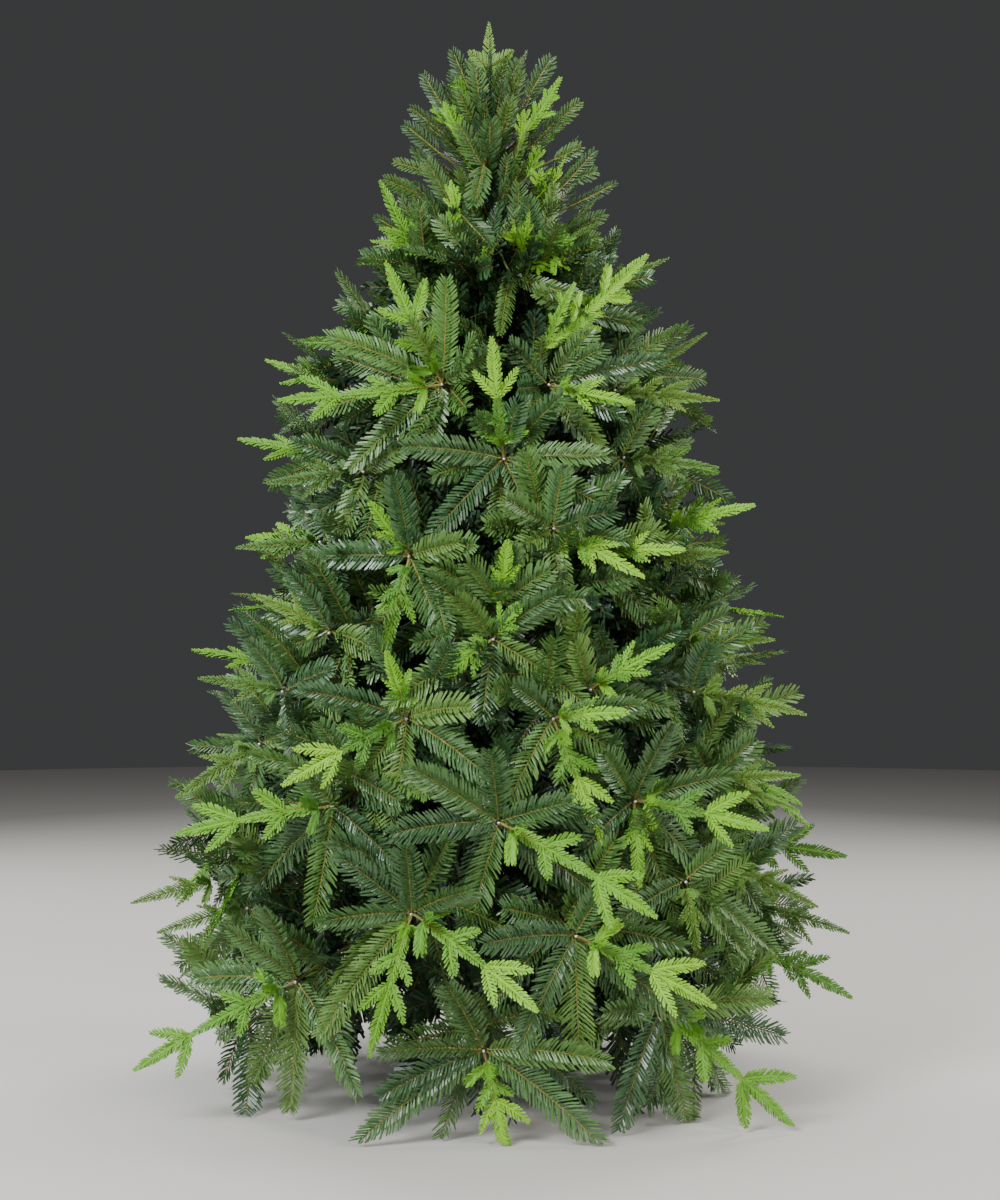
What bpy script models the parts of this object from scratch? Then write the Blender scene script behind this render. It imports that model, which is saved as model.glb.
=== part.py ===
"""Artificial Christmas tree, 2.1 m high, on its four-legged steel stand.

The tree is a steel pole in a socket, wire boughs that leave the pole at five
collars, and 24 masses of foliage: five tiers of wedges set round the pole, and
one mass round the pole's top. Each wedge is a cube cage bent to its place
between two cones, with shoot tips drawn out of its outer face as far as the
crown's outline. The origin is on the ground under the pole, +Z is up, and the
front of the tree faces -Y.
"""

import math
import random
from collections import namedtuple

import bmesh
import bpy
from mathutils import Matrix, Vector

# ---- Driving sizes, in metres and degrees ---------------------------------

HEIGHT = 2.10
GAP = 0.0003  # clearance between pieces that touch
WIDE_GAP = 2 * GAP  # clearance round a rod in its bore
SMOOTH_UNDER = 40.0  # degrees between two faces up to which a round piece is shaded smooth

# The crown's outline: height, and the radius that its furthest tips reach there.
OUTLINE = (
    (0.00, 0.62),
    (0.18, 0.71),
    (0.40, 0.72),
    (0.60, 0.64),
    (0.78, 0.62),
    (1.06, 0.50),
    (1.36, 0.44),
    (1.64, 0.31),
    (1.84, 0.23),
    (2.03, 0.13),
    (HEIGHT, 0.00),
)

# Pole: sections of tube that get thinner upwards, then a tapering leader.
POLE_SECTIONS = ((0.98, 0.0160), (1.50, 0.0140), (1.76, 0.0105))  # top, radius
POLE_BOTTOM = 0.0363
LEADER_TOP = 2.04
LEADER_RADII = (0.0065, 0.0030)
COLLAR_RADIUS = 0.026
COLLAR_HALF_HEIGHT = 0.012
POLE_SIDES = 16

# Tiers of foliage, from the floor up. A tier is a ring of wedges.
#   wedges, cells    how many wedges, and cage cells along each edge of one
#   turn             direction of the first wedge's middle
#   inner            distance from the pole's axis to the wedge's inner end
#   sag              how far the drawn-out tips hang below their cells
#   collar           height of the collar that carries the tier's boughs
Tier = namedtuple("Tier", "wedges cells turn inner sag collar")
TIERS = (
    Tier(6, 5, -75.0, 0.150, 0.050, 0.320),
    Tier(5, 5, -90.0, 0.130, 0.020, 0.590),
    Tier(5, 4, -54.0, 0.110, -0.010, 0.905),
    Tier(4, 4, -68.0, 0.090, -0.030, 1.190),
    Tier(3, 4, -90.0, 0.070, -0.020, 1.440),
)
# The cones between the tiers: height at the pole, and rise per metre outwards.
TIER_CONES = ((0.430, 0.00), (0.770, 0.08), (1.070, 0.20), (1.340, 0.40), (1.590, 0.65))
TIER_GAP = 0.010
WEDGE_GAP_DEGREES = 1.0
TIP_LENGTH = 0.115  # how far a shoot tip stands out of the mass it grows from
TIP_LENGTH_SHARE = 0.24  # the same on thin parts of the crown, as a share of the radius
SIDE_TIP = 0.45  # length of the shorter tips between, as a share of the long ones
TIP_JITTER = 0.02  # most that a long tip falls short of the outline
LUMPS = 0.09  # depth of the hollows in a mass, as a share of its size
ROUNDING = 8.0  # power of the rounded box: 2 is a ball, and higher is squarer
SETTLING_ROUNDS = 12  # rounds in which a point's height and radius settle on each other

# Underside of the lowest tier: it clears the stand, then the floor.
SKIRT_HEIGHT = 0.155
SKIRT_SLOPE = 0.55
FLOOR_CLEARANCE = 0.015

TOP_MASS_BOTTOM = 1.62
TOP_MASS_BODY = 0.80  # radius of its body as a share of the outline's
TOP_MASS_TIPS_FROM = 1.86  # height above which it carries tips
BORE_START = 0.05  # how far below the mass the cutter for its bore starts
BORE_SIDES = 16

BOUGH_RADII = (0.0055, 0.0035)
BOUGH_STRAIGHT = 0.012  # level stretch at each end of a bough

# Stand. A leg is level at the flange, slopes down, and is level again in its foot.
SOCKET_BOTTOM = 0.030
SOCKET_TOP = 0.250
SOCKET_FLOOR = 0.006
SOCKET_BORE = 0.0166
SOCKET_RADIUS = 0.0215
FLANGE_RADIUS = 0.030
FLANGE_HEIGHTS = (0.150, 0.180)
LEG_RADIUS = 0.009
LEG_REACH = 0.250
LEG_TURN = 45.0
SHOULDER_BEND = ((0.012, 0.0), (0.026, -0.006))  # out and up from the leg's root at the flange
ANKLE_BEND = (-0.020, 0.011)  # out and up from where the leg gets level again
ANKLE_CLEARANCE = 0.006  # from there to the foot
FOOT_SIZE = (0.050, 0.032, 0.027)
FOOT_WALL = 0.008
FOOT_BEVEL = 0.003
POCKET_CLEARANCE = 0.0007  # round the leg in its foot
POCKET_SIDES = 12
SCREW_HEIGHT = 0.222
SCREW_TURNS = (20.0, 200.0)
SCREW_RADIUS = 0.003
SCREW_KNOB = (0.011, 0.009)  # radius and thickness
KNOB_CROWN = (0.85, 0.25)  # flat share of the knob's face, and share of its thickness that slopes
SCREW_LENGTH = 0.030
SCREW_SIDES = 12
HOLE_OVERLAP = 0.002  # how far inside the bore the cutter for a screw hole starts

# ---- Scene helpers --------------------------------------------------------


def empty_scene():
    for old in list(bpy.data.objects):
        bpy.data.objects.remove(old, do_unlink=True)


def new_collection(name):
    made = bpy.data.collections.new(name)
    bpy.context.scene.collection.children.link(made)
    return made


def principled(name, colour, roughness, metallic):
    """A Principled material of one colour, given as linear red, green and blue."""
    made = bpy.data.materials.new(name)
    made.use_nodes = True
    shader = made.node_tree.nodes["Principled BSDF"]
    shader.inputs["Base Color"].default_value = (*colour, 1.0)
    shader.inputs["Roughness"].default_value = roughness
    shader.inputs["Metallic"].default_value = metallic
    return made


def place(name, data, collection, material=None):
    """Put a mesh or curve into a collection as a named object."""
    made = bpy.data.objects.new(name, data)
    collection.objects.link(made)
    if material:
        data.materials.append(material)
    return made


def as_cutter(made):
    made.hide_render = True
    made.display_type = "WIRE"
    return made


def mesh_from(bm, name):
    """Turn a closed bmesh into a mesh with its faces outward."""
    if bm.calc_volume(signed=True) < 0.0:
        bmesh.ops.reverse_faces(bm, faces=bm.faces[:])
    mesh = bpy.data.meshes.new(name)
    bm.to_mesh(mesh)
    bm.free()
    return mesh


def cut(target, cutter):
    """Take a cutter's shape out of an object."""
    step = target.modifiers.new("cut " + cutter.name, "BOOLEAN")
    step.operation = "DIFFERENCE"
    step.solver = "EXACT"
    step.object = cutter


def cylinder_mesh(name, radius, length, sides, end_radius=None):
    """A cylinder or cone along +Z from the origin."""
    bm = bmesh.new()
    bmesh.ops.create_cone(
        bm,
        cap_ends=True,
        segments=sides,
        radius1=radius,
        radius2=radius if end_radius is None else end_radius,
        depth=length,
        matrix=Matrix.Translation((0.0, 0.0, length / 2)),
    )
    return mesh_from(bm, name)


def turned(name, profile, sides, collection, material):
    """Turn a profile of (radius, height) points, listed top to bottom, about Z, and shade it round."""
    mesh = bpy.data.meshes.new(name)
    points = [(radius, 0.0, height) for radius, height in profile]
    edges = [(i, i + 1) for i in range(len(points) - 1)]
    mesh.from_pydata(points, edges, [])
    made = place(name, mesh, collection, material)
    screw = made.modifiers.new("turn", "SCREW")
    screw.axis = "Z"
    screw.steps = sides
    screw.render_steps = sides
    screw.use_merge_vertices = True
    screw.merge_threshold = 0.00001
    bpy.context.view_layer.update()
    whole = bpy.data.meshes.new_from_object(made.evaluated_get(bpy.context.evaluated_depsgraph_get()))
    made.modifiers.clear()
    made.data = whole
    whole.shade_smooth()
    whole.set_sharp_from_angle(angle=math.radians(SMOOTH_UNDER))
    return made


def rod(name, points, radii, collection, material):
    """A round rod along points, its radius going evenly from the first to the second."""
    curve = bpy.data.curves.new(name, "CURVE")
    curve.dimensions = "3D"
    curve.bevel_depth = radii[0]
    curve.bevel_resolution = 2
    curve.use_fill_caps = True
    spline = curve.splines.new("POLY")
    spline.points.add(len(points) - 1)
    for i, (spot, at) in enumerate(zip(spline.points, points)):
        share = i / (len(points) - 1)
        spot.co = (*at, 1.0)
        spot.radius = 1.0 + share * (radii[1] / radii[0] - 1.0)
    return place(name, curve, collection, material)


# ---- Geometry of the crown ------------------------------------------------


def outward(degrees):
    """Level unit vector in a direction counted from +X towards +Y."""
    angle = math.radians(degrees)
    return Vector((math.cos(angle), math.sin(angle), 0.0))


def blend(a, b, share):
    return a + (b - a) * share


def tip_radius(height):
    """Radius of the crown's outline at a height."""
    for (z0, r0), (z1, r1) in zip(OUTLINE, OUTLINE[1:]):
        if height <= z1:
            return blend(r0, r1, max(height - z0, 0.0) / (z1 - z0))
    return 0.0


def body_radius(height):
    """Radius of the masses themselves at a height, without the tips."""
    reach = tip_radius(height)
    return reach - min(TIP_LENGTH, TIP_LENGTH_SHARE * reach)


def cone_height(cone, radius):
    return cone[0] + cone[1] * radius


def tier_floor(number, radius):
    """Height of a tier's underside at a distance from the pole."""
    if number == 0:
        inner = TIERS[0].inner
        return max(FLOOR_CLEARANCE, SKIRT_HEIGHT - SKIRT_SLOPE * (radius - inner))
    return cone_height(TIER_CONES[number - 1], radius) + TIER_GAP / 2


def tier_roof(number, radius):
    return cone_height(TIER_CONES[number], radius) - TIER_GAP / 2


def rounded(point):
    """Pull the corners of the cube cage in to a rounded box."""
    size = sum(abs(part) ** ROUNDING for part in point) ** (1.0 / ROUNDING)
    return point / size


def is_core(point, cells):
    """Whether a cage point is at the middle of the inner face, where the bough enters."""
    step = 2.0 / cells
    return point.y < -0.99 and abs(point.x) < step and abs(point.z) < step


def tip_lengths(cells, number):
    """Cage points of the outer face that carry tips, and the tips' shares of full length.

    Each column has one long tip and, two rows on, one short tip. The long
    tips' heights are mixed, and differ from one wedge to the next.
    """
    rows = list(range(1, cells))
    order = rows[number % 2 :: 2] + rows[1 - number % 2 :: 2]
    order = order[number % len(order) :] + order[: number % len(order)]
    lengths = {}
    for column, row in zip(rows, order):
        lengths[(column, (row + 1) % len(rows) + 1)] = SIDE_TIP
        lengths[(column, row)] = 1.0
    return lengths


def cell_of(point, cells):
    """Column and row of a cage point on the cage's grid."""
    return round((point.x + 1.0) * cells / 2), round((point.z + 1.0) * cells / 2)


def wedge_point(number, point):
    """Bend a point of the rounded cage to its tier: across, outward and up."""
    tier = TIERS[number]
    half_angle = math.radians(180.0 / tier.wedges - WEDGE_GAP_DEGREES)
    angle = point.x * half_angle
    out = (point.y + 1.0) / 2
    up = (point.z + 1.0) / 2
    radius = tier.inner
    for _ in range(SETTLING_ROUNDS):
        height = blend(tier_floor(number, radius), tier_roof(number, radius), up)
        radius = blend(tier.inner, body_radius(height), out)
    ahead = radius * (1.0 - out + out * math.cos(angle))
    return Vector((ahead, ahead * math.tan(angle), height))


def wedge_mesh(name, number, index):
    """One wedge of foliage, pointing along +X: lumpy all over, with tips on its outer face."""
    tier = TIERS[number]
    tips = tip_lengths(tier.cells, number + index)
    lumps = random.Random(100 * number + index)
    bm = bmesh.new()
    bmesh.ops.create_cube(bm, size=2.0)
    bmesh.ops.subdivide_edges(bm, edges=bm.edges[:], cuts=tier.cells - 1, use_grid_fill=True)
    for vert in bm.verts:
        cage = vert.co.copy()
        hollow = 0.0 if is_core(cage, tier.cells) else LUMPS * lumps.random()
        shrunk = Vector((1.0 - hollow, 1.0 - hollow, 1.0 - hollow))
        vert.co = wedge_point(number, rounded(cage) * shrunk)
        if cage.y > 0.99 and cell_of(cage, tier.cells) in tips:
            level = Vector((vert.co.x, vert.co.y, 0.0))
            height = max(vert.co.z - tier.sag, FLOOR_CLEARANCE)
            full = tip_radius(height) * (1.0 - TIP_JITTER * lumps.random())
            share = tips[cell_of(cage, tier.cells)]
            vert.co = level.normalized() * blend(body_radius(height), full, share)
            vert.co.z = height
    return mesh_from(bm, name)


def top_mesh(name):
    """The mass round the leader: a ball cage turned to the outline, every third point a tip."""
    lumps = random.Random(7)
    bm = bmesh.new()
    bmesh.ops.create_icosphere(bm, subdivisions=3, radius=1.0)
    for count, vert in enumerate(bm.verts):
        level = Vector((vert.co.x, vert.co.y, 0.0))
        height = blend(TOP_MASS_BOTTOM, HEIGHT, (vert.co.z + 1.0) / 2)
        share = TOP_MASS_BODY * (1.0 - LUMPS * lumps.random())
        if count % 3 == 0 and height > TOP_MASS_TIPS_FROM:
            share = 1.0
        room = (height - 2 * TIER_GAP - cone_height(TIER_CONES[-1], 0.0)) / TIER_CONES[-1][1]
        if level.length > 0.001:
            level.normalize()
        vert.co = level * min(tip_radius(height) * share, room)
        vert.co.z = height
    return mesh_from(bm, name)


# ---- The pieces -----------------------------------------------------------


def make_pole(parts, paint):
    """The pole: stepped tubes with a collar for each tier, and a leader that tapers to its tip."""
    steps = [(0.0, LEADER_TOP), (LEADER_RADII[1], LEADER_TOP)]
    steps.append((LEADER_RADII[0], POLE_SECTIONS[-1][0]))
    collars = sorted((tier.collar for tier in TIERS), reverse=True)
    bottoms = [section[0] for section in POLE_SECTIONS[-2::-1]] + [POLE_BOTTOM]
    for (top, radius), bottom in zip(reversed(POLE_SECTIONS), bottoms):
        steps.append((radius, top))
        for height in collars:
            if bottom < height < top:
                steps.append((radius, height + COLLAR_HALF_HEIGHT))
                steps.append((COLLAR_RADIUS, height + COLLAR_HALF_HEIGHT))
                steps.append((COLLAR_RADIUS, height - COLLAR_HALF_HEIGHT))
                steps.append((radius, height - COLLAR_HALF_HEIGHT))
        steps.append((radius, bottom))
    steps.append((0.0, POLE_BOTTOM))
    turned("trunk", steps, POLE_SIDES, parts, paint)


def make_wedge_and_bough(number, index, parts, green, wire):
    """A wedge of foliage, and the bough that runs from the tier's collar to its inner end."""
    tier = TIERS[number]
    label = f"{number + 1}_{index + 1}"
    degrees = tier.turn + index * 360.0 / tier.wedges
    mesh = wedge_mesh("foliage_" + label, number, index)
    inner_end = min(vert.co.x for vert in mesh.vertices)
    wedge = place("foliage_" + label, mesh, parts, green)
    wedge.rotation_euler.z = math.radians(degrees)

    start = COLLAR_RADIUS + GAP
    end = inner_end - GAP
    middle = (tier_floor(number, tier.inner) + tier_roof(number, tier.inner)) / 2
    path = (
        (start, 0.0, tier.collar),
        (start + BOUGH_STRAIGHT, 0.0, tier.collar),
        (end - BOUGH_STRAIGHT, 0.0, middle),
        (end, 0.0, middle),
    )
    bough = rod("bough_" + label, path, BOUGH_RADII, parts, wire)
    bough.rotation_euler.z = math.radians(degrees)


def make_top_mass(parts, cutters, green):
    """The mass round the leader, bored from below for the pole's upper end."""
    mass = place("foliage_top", top_mesh("foliage_top"), parts, green)
    section_top, section_radius = POLE_SECTIONS[-1]
    depth = section_top + WIDE_GAP - TOP_MASS_BOTTOM + BORE_START
    wide = cylinder_mesh("bore for tube", section_radius + WIDE_GAP, depth, BORE_SIDES)
    wide_cutter = as_cutter(place("bore for tube", wide, cutters))
    wide_cutter.location.z = TOP_MASS_BOTTOM - BORE_START
    narrow = cylinder_mesh(
        "bore for leader",
        LEADER_RADII[0] + WIDE_GAP,
        LEADER_TOP + WIDE_GAP - section_top,
        BORE_SIDES,
        LEADER_RADII[1] + WIDE_GAP,
    )
    narrow_cutter = as_cutter(place("bore for leader", narrow, cutters))
    narrow_cutter.location.z = section_top
    cut(mass, wide_cutter)
    cut(mass, narrow_cutter)


def make_socket(parts, cutters, paint):
    """The stand's socket: a cup for the pole, with a flange for the legs and two screw holes."""
    low, high = FLANGE_HEIGHTS
    floor_top = SOCKET_BOTTOM + SOCKET_FLOOR
    profile = (
        (0.0, floor_top),
        (SOCKET_BORE, floor_top),
        (SOCKET_BORE, SOCKET_TOP),
        (SOCKET_RADIUS, SOCKET_TOP),
        (SOCKET_RADIUS, high),
        (FLANGE_RADIUS, high),
        (FLANGE_RADIUS, low),
        (SOCKET_RADIUS, low),
        (SOCKET_RADIUS, SOCKET_BOTTOM),
        (0.0, SOCKET_BOTTOM),
    )
    socket = turned("stand_socket", profile, POLE_SIDES, parts, paint)
    for turn in SCREW_TURNS:
        mesh = cylinder_mesh("screw hole", SCREW_RADIUS + WIDE_GAP, SCREW_LENGTH, SCREW_SIDES)
        hole = as_cutter(place(f"screw hole {turn:.0f}", mesh, cutters))
        hole.rotation_euler = (0.0, math.radians(90.0), math.radians(turn))
        hole.location = outward(turn) * (SOCKET_BORE - HOLE_OVERLAP)
        hole.location.z = SCREW_HEIGHT
        cut(socket, hole)


def make_screws(parts, steel):
    """Thumb screws: a shank through the socket's wall, and a round knob."""
    knob_radius, knob_thickness = SCREW_KNOB
    flat_share, slope_share = KNOB_CROWN
    top = SCREW_LENGTH + knob_thickness
    profile = (
        (0.0, top),
        (knob_radius * flat_share, top),
        (knob_radius, top - knob_thickness * slope_share),
        (knob_radius, SCREW_LENGTH),
        (SCREW_RADIUS, SCREW_LENGTH),
        (SCREW_RADIUS, 0.0),
        (0.0, 0.0),
    )
    for number, turn in enumerate(SCREW_TURNS, 1):
        screw = turned(f"stand_screw_{number}", profile, SCREW_SIDES, parts, steel)
        screw.rotation_euler = (0.0, math.radians(90.0), math.radians(turn))
        screw.location = outward(turn) * (POLE_SECTIONS[0][1] + GAP)
        screw.location.z = SCREW_HEIGHT


def make_legs_and_feet(parts, cutters, paint, rubber):
    """Four bent tubes from the flange to the floor, each end in a rubber foot."""
    length, width, height = FOOT_SIZE
    axis = height / 2
    pocket_end = LEG_REACH - FOOT_WALL
    ankle = LEG_REACH - length - ANKLE_CLEARANCE
    start = FLANGE_RADIUS + GAP
    top = sum(FLANGE_HEIGHTS) / 2
    path = [(start, 0.0, top)]
    path += [(start + away, 0.0, top + rise) for away, rise in SHOULDER_BEND]
    path.append((ankle + ANKLE_BEND[0], 0.0, axis + ANKLE_BEND[1]))
    path.append((ankle, 0.0, axis))
    path.append((pocket_end - GAP, 0.0, axis))
    for number in range(1, 5):
        turn = math.radians(LEG_TURN + 90.0 * number)
        leg = rod(f"stand_leg_{number}", path, (LEG_RADIUS, LEG_RADIUS), parts, paint)
        leg.rotation_euler.z = turn

        bm = bmesh.new()
        bmesh.ops.create_cube(bm, size=1.0)
        bmesh.ops.scale(bm, vec=FOOT_SIZE, verts=bm.verts[:])
        spot = Vector((LEG_REACH - length / 2, 0.0, height / 2))
        bmesh.ops.translate(bm, vec=spot, verts=bm.verts[:])
        foot = place(f"stand_foot_{number}", mesh_from(bm, "foot"), parts, rubber)
        foot.rotation_euler.z = turn
        edges = foot.modifiers.new("soft edges", "BEVEL")
        edges.width = FOOT_BEVEL
        edges.segments = 1
        mesh = cylinder_mesh("foot pocket", LEG_RADIUS + POCKET_CLEARANCE, length, POCKET_SIDES)
        pocket = as_cutter(place(f"foot pocket {number}", mesh, cutters))
        pocket.rotation_euler = (0.0, math.radians(90.0), turn)
        pocket.location = Matrix.Rotation(turn, 3, "Z") @ Vector((pocket_end - length, 0.0, axis))
        cut(foot, pocket)


def main():
    empty_scene()
    parts = new_collection("christmas tree")
    cutters = new_collection("cutters")
    pole_paint = principled("pole paint", (0.020, 0.045, 0.025), 0.5, 0.3)
    wire_paint = principled("wire paint", (0.060, 0.075, 0.030), 0.6, 0.2)
    needles = principled("needles", (0.055, 0.130, 0.045), 0.6, 0.0)
    stand_paint = principled("stand paint", (0.018, 0.040, 0.024), 0.45, 0.3)
    rubber = principled("rubber", (0.010, 0.010, 0.010), 0.8, 0.0)
    steel = principled("plated steel", (0.55, 0.55, 0.53), 0.35, 1.0)

    make_pole(parts, pole_paint)
    for number, tier in enumerate(TIERS):
        for index in range(tier.wedges):
            make_wedge_and_bough(number, index, parts, needles, wire_paint)
    make_top_mass(parts, cutters, needles)
    make_socket(parts, cutters, stand_paint)
    make_screws(parts, steel)
    make_legs_and_feet(parts, cutters, stand_paint, rubber)


main()
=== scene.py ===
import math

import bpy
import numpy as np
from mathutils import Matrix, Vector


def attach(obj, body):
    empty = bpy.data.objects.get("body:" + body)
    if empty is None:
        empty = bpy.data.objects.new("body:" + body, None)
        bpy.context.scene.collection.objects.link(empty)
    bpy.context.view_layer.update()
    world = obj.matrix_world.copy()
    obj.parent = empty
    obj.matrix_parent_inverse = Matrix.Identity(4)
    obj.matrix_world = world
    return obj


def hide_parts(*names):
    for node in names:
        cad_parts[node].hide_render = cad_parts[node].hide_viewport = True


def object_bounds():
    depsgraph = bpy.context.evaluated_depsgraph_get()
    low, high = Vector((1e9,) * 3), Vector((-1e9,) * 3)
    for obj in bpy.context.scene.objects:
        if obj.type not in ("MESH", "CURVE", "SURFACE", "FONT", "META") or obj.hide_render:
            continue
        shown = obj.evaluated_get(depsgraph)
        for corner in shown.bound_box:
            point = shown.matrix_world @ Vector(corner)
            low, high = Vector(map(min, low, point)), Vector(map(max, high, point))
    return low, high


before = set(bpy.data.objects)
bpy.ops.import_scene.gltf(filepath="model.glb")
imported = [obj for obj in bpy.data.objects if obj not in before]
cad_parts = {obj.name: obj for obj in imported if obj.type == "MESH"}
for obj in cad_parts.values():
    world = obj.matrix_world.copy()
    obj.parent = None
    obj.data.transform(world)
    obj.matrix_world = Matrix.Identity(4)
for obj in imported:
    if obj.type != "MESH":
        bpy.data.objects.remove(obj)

# %% [markdown]
# # An artificial Christmas tree, grown sprig by sprig
# The model that was just loaded is the frame: it holds the pole, bare boughs,
# stand and plain lumps for the foliage, all at their real size. This lesson
# keeps every size and replaces the lumps with what the real tree has there.
# A wire bough runs out from the pole to a small metal crimp. Up to six sprigs of
# cut film needles stand round the crimp like a star, more sprigs sit further
# in, and a light green moulded shoot grows on from the end.
#
# Everything that grows is worked out with whole numpy arrays: one row of an
# array is one bough, then one sprig, then one needle. The random numbers come
# from one seeded generator, so the tree is the same each time.

cad_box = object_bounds()
HEIGHT = cad_box[1][2]
SPREAD = cad_box[1][0] - cad_box[0][0]
rng = np.random.default_rng(2026)
print(f"frame: {HEIGHT:.2f} m high, {SPREAD:.2f} m across, {len(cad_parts)} nodes")

# %% [markdown]
# ## A little vector algebra
# A row of vectors is an array of shape (n, 3). These few functions are all the
# geometry that a branching plant needs: make a vector a unit, take away its
# part along an axis, and fan a direction out from an axis.

# %% Vector helpers
UP = np.array([0.0, 0.0, 1.0])
FRONT = np.array([0.0, -1.0, 0.0])
CENTIMETRE = 0.01


def unit(v):
    """Each row divided by its own length."""
    return v / np.maximum(np.linalg.norm(v, axis=-1, keepdims=True), 1e-9)


def dot(a, b):
    """Row by row scalar product, kept as a column."""
    return np.sum(a * b, axis=-1, keepdims=True)


def across(v, axis):
    """Each row without its part along the unit axis, v - (v . axis) axis, made a unit again."""
    return unit(v - dot(v, axis) * axis)


def level(degrees):
    """Unit vectors in the floor's plane, from angles counted from +X towards +Y."""
    a = np.radians(degrees)
    return np.stack([np.cos(a), np.sin(a), np.zeros_like(a)], axis=-1)


def fan_out(axis, side, fan, turn):
    """The axis tilted by the angle fan towards side, then turned round the axis (radians)."""
    third = np.cross(axis, side)
    around = np.cos(turn)[..., None] * side + np.sin(turn)[..., None] * third
    return unit(np.cos(fan)[..., None] * axis + np.sin(fan)[..., None] * around)


def by_height(height, low, middle, high):
    """A value that changes with height: low at 0.2 m, middle at 1.0 m and high at 1.9 m."""
    return np.interp(height, (0.2, 1.0, 1.9), (low, middle, high))


# %% [markdown]
# ## From arrays to a mesh
# Blender takes flat arrays through foreach_set, which is hundreds of times
# quicker than adding needles one at a time. Each face also gets a material
# number, and that is how a whole sprig can be dealt one shade of green while
# thousands of sprigs stay in one object.

# %% Mesh helper
def mesh_piece(name, slot, verts, faces, materials, shade=None, smooth=False):
    """A mesh object from arrays: verts (n, 3), faces (m, 3 or 4), one material number a face."""
    mesh = bpy.data.meshes.new(name)
    verts = np.ascontiguousarray(verts, dtype=np.float32).reshape(-1, 3)
    faces = np.ascontiguousarray(faces, dtype=np.int32)
    corners = faces.shape[1]
    mesh.vertices.add(len(verts))
    mesh.vertices.foreach_set("co", verts.ravel())
    mesh.loops.add(faces.size)
    mesh.loops.foreach_set("vertex_index", faces.ravel())
    mesh.polygons.add(len(faces))
    mesh.polygons.foreach_set("loop_start", np.arange(len(faces), dtype=np.int32) * corners)
    for material in materials:
        mesh.materials.append(material)
    if shade is not None:
        mesh.polygons.foreach_set("material_index", np.asarray(shade, dtype=np.int32))
    mesh.polygons.foreach_set("use_smooth", np.full(len(faces), smooth))
    mesh.update(calc_edges=True)
    mesh.validate()
    piece = bpy.data.objects.new(name, mesh)
    bpy.context.scene.collection.objects.link(piece)
    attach(piece, "root")
    print(f"{name}: {len(verts)} points, {len(faces) * (corners - 2)} triangles")
    return piece


def stacked(parts):
    """Several (points, faces) pairs as one."""
    points, faces = zip(*parts)
    shift = np.cumsum([0] + [len(p) for p in points[:-1]])
    return np.concatenate(points), np.concatenate([f + s for f, s in zip(faces, shift)])


# %% [markdown]
# ## Paint, film and rubber
# A colour is written as the sRGB hex value that a paint chart gives, and one
# function turns it to the linear values that the renderer adds up. Values that
# are the same all over a surface sit on the shader's own sockets. A second
# small function adds a node with its values and its links.

# %% Colour and node helpers
def linear(code):
    """An sRGB hex colour as linear red, green, blue and alpha, by the sRGB curve."""
    parts = [int(code[i : i + 2], 16) / 255.0 for i in (1, 3, 5)]
    return [p / 12.92 if p <= 0.04045 else ((p + 0.055) / 1.055) ** 2.4 for p in parts] + [1.0]


def finish_of(name, code, **sockets):
    """A Principled material: its base colour, then any other socket, with _ for a space."""
    made = bpy.data.materials.new(name)
    made.use_nodes = True
    shader = made.node_tree.nodes["Principled BSDF"]
    shader.inputs["Base Color"].default_value = linear(code)
    for socket, value in sockets.items():
        shader.inputs[socket.replace("_", " ")].default_value = value
    return made


def add_node(material, kind, values=(), links=()):
    """One node: values are for its input sockets, links are (socket, source)."""
    tree = material.node_tree
    node = tree.nodes.new(kind)
    for key, value in dict(values).items():
        node.inputs[key].default_value = value
    for key, source in dict(links).items():
        tree.links.new(source, node.inputs[key])
    return node


def weathered(material, scale, colours, rough, bump, depth, detail=6.0):
    """Noise of one scale (features per metre) that moves the colour, roughness and height."""
    place = add_node(material, "ShaderNodeTexCoord").outputs["Object"]
    noise = add_node(
        material, "ShaderNodeTexNoise", values={"Scale": scale, "Detail": detail}, links={"Vector": place}
    )
    tint = add_node(material, "ShaderNodeValToRGB", links={"Fac": noise.outputs["Fac"]})
    tint.color_ramp.elements[0].position = 0.35
    tint.color_ramp.elements[1].position = 0.68
    for element, code in zip(tint.color_ramp.elements, colours):
        element.color = linear(code)
    gloss = add_node(
        material, "ShaderNodeMapRange", values={"To Min": rough[0], "To Max": rough[1]},
        links={"Value": noise.outputs["Fac"]},
    )
    fine = add_node(
        material, "ShaderNodeTexNoise", values={"Scale": bump, "Detail": 3.0}, links={"Vector": place}
    )
    relief = add_node(
        material, "ShaderNodeBump", values={"Strength": 0.5, "Distance": depth},
        links={"Height": fine.outputs["Fac"]},
    )
    shader = material.node_tree.nodes["Principled BSDF"]
    material.node_tree.links.new(tint.outputs["Color"], shader.inputs["Base Color"])
    material.node_tree.links.new(gloss.outputs["Result"], shader.inputs["Roughness"])
    material.node_tree.links.new(relief.outputs["Normal"], shader.inputs["Normal"])
    return material


# %% [markdown]
# ### Needle materials
# The dark needles are strips of calendered PVC film, slit and wound into a
# wire. The film is smooth, so a sprig that faces the light flashes pale all
# along. The light shoots are moulded polyethylene, which is waxier, with a
# softer and wider shine. The maker mixes several batches of each, so every
# sprig is dealt one plain shade from a short list.

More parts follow.
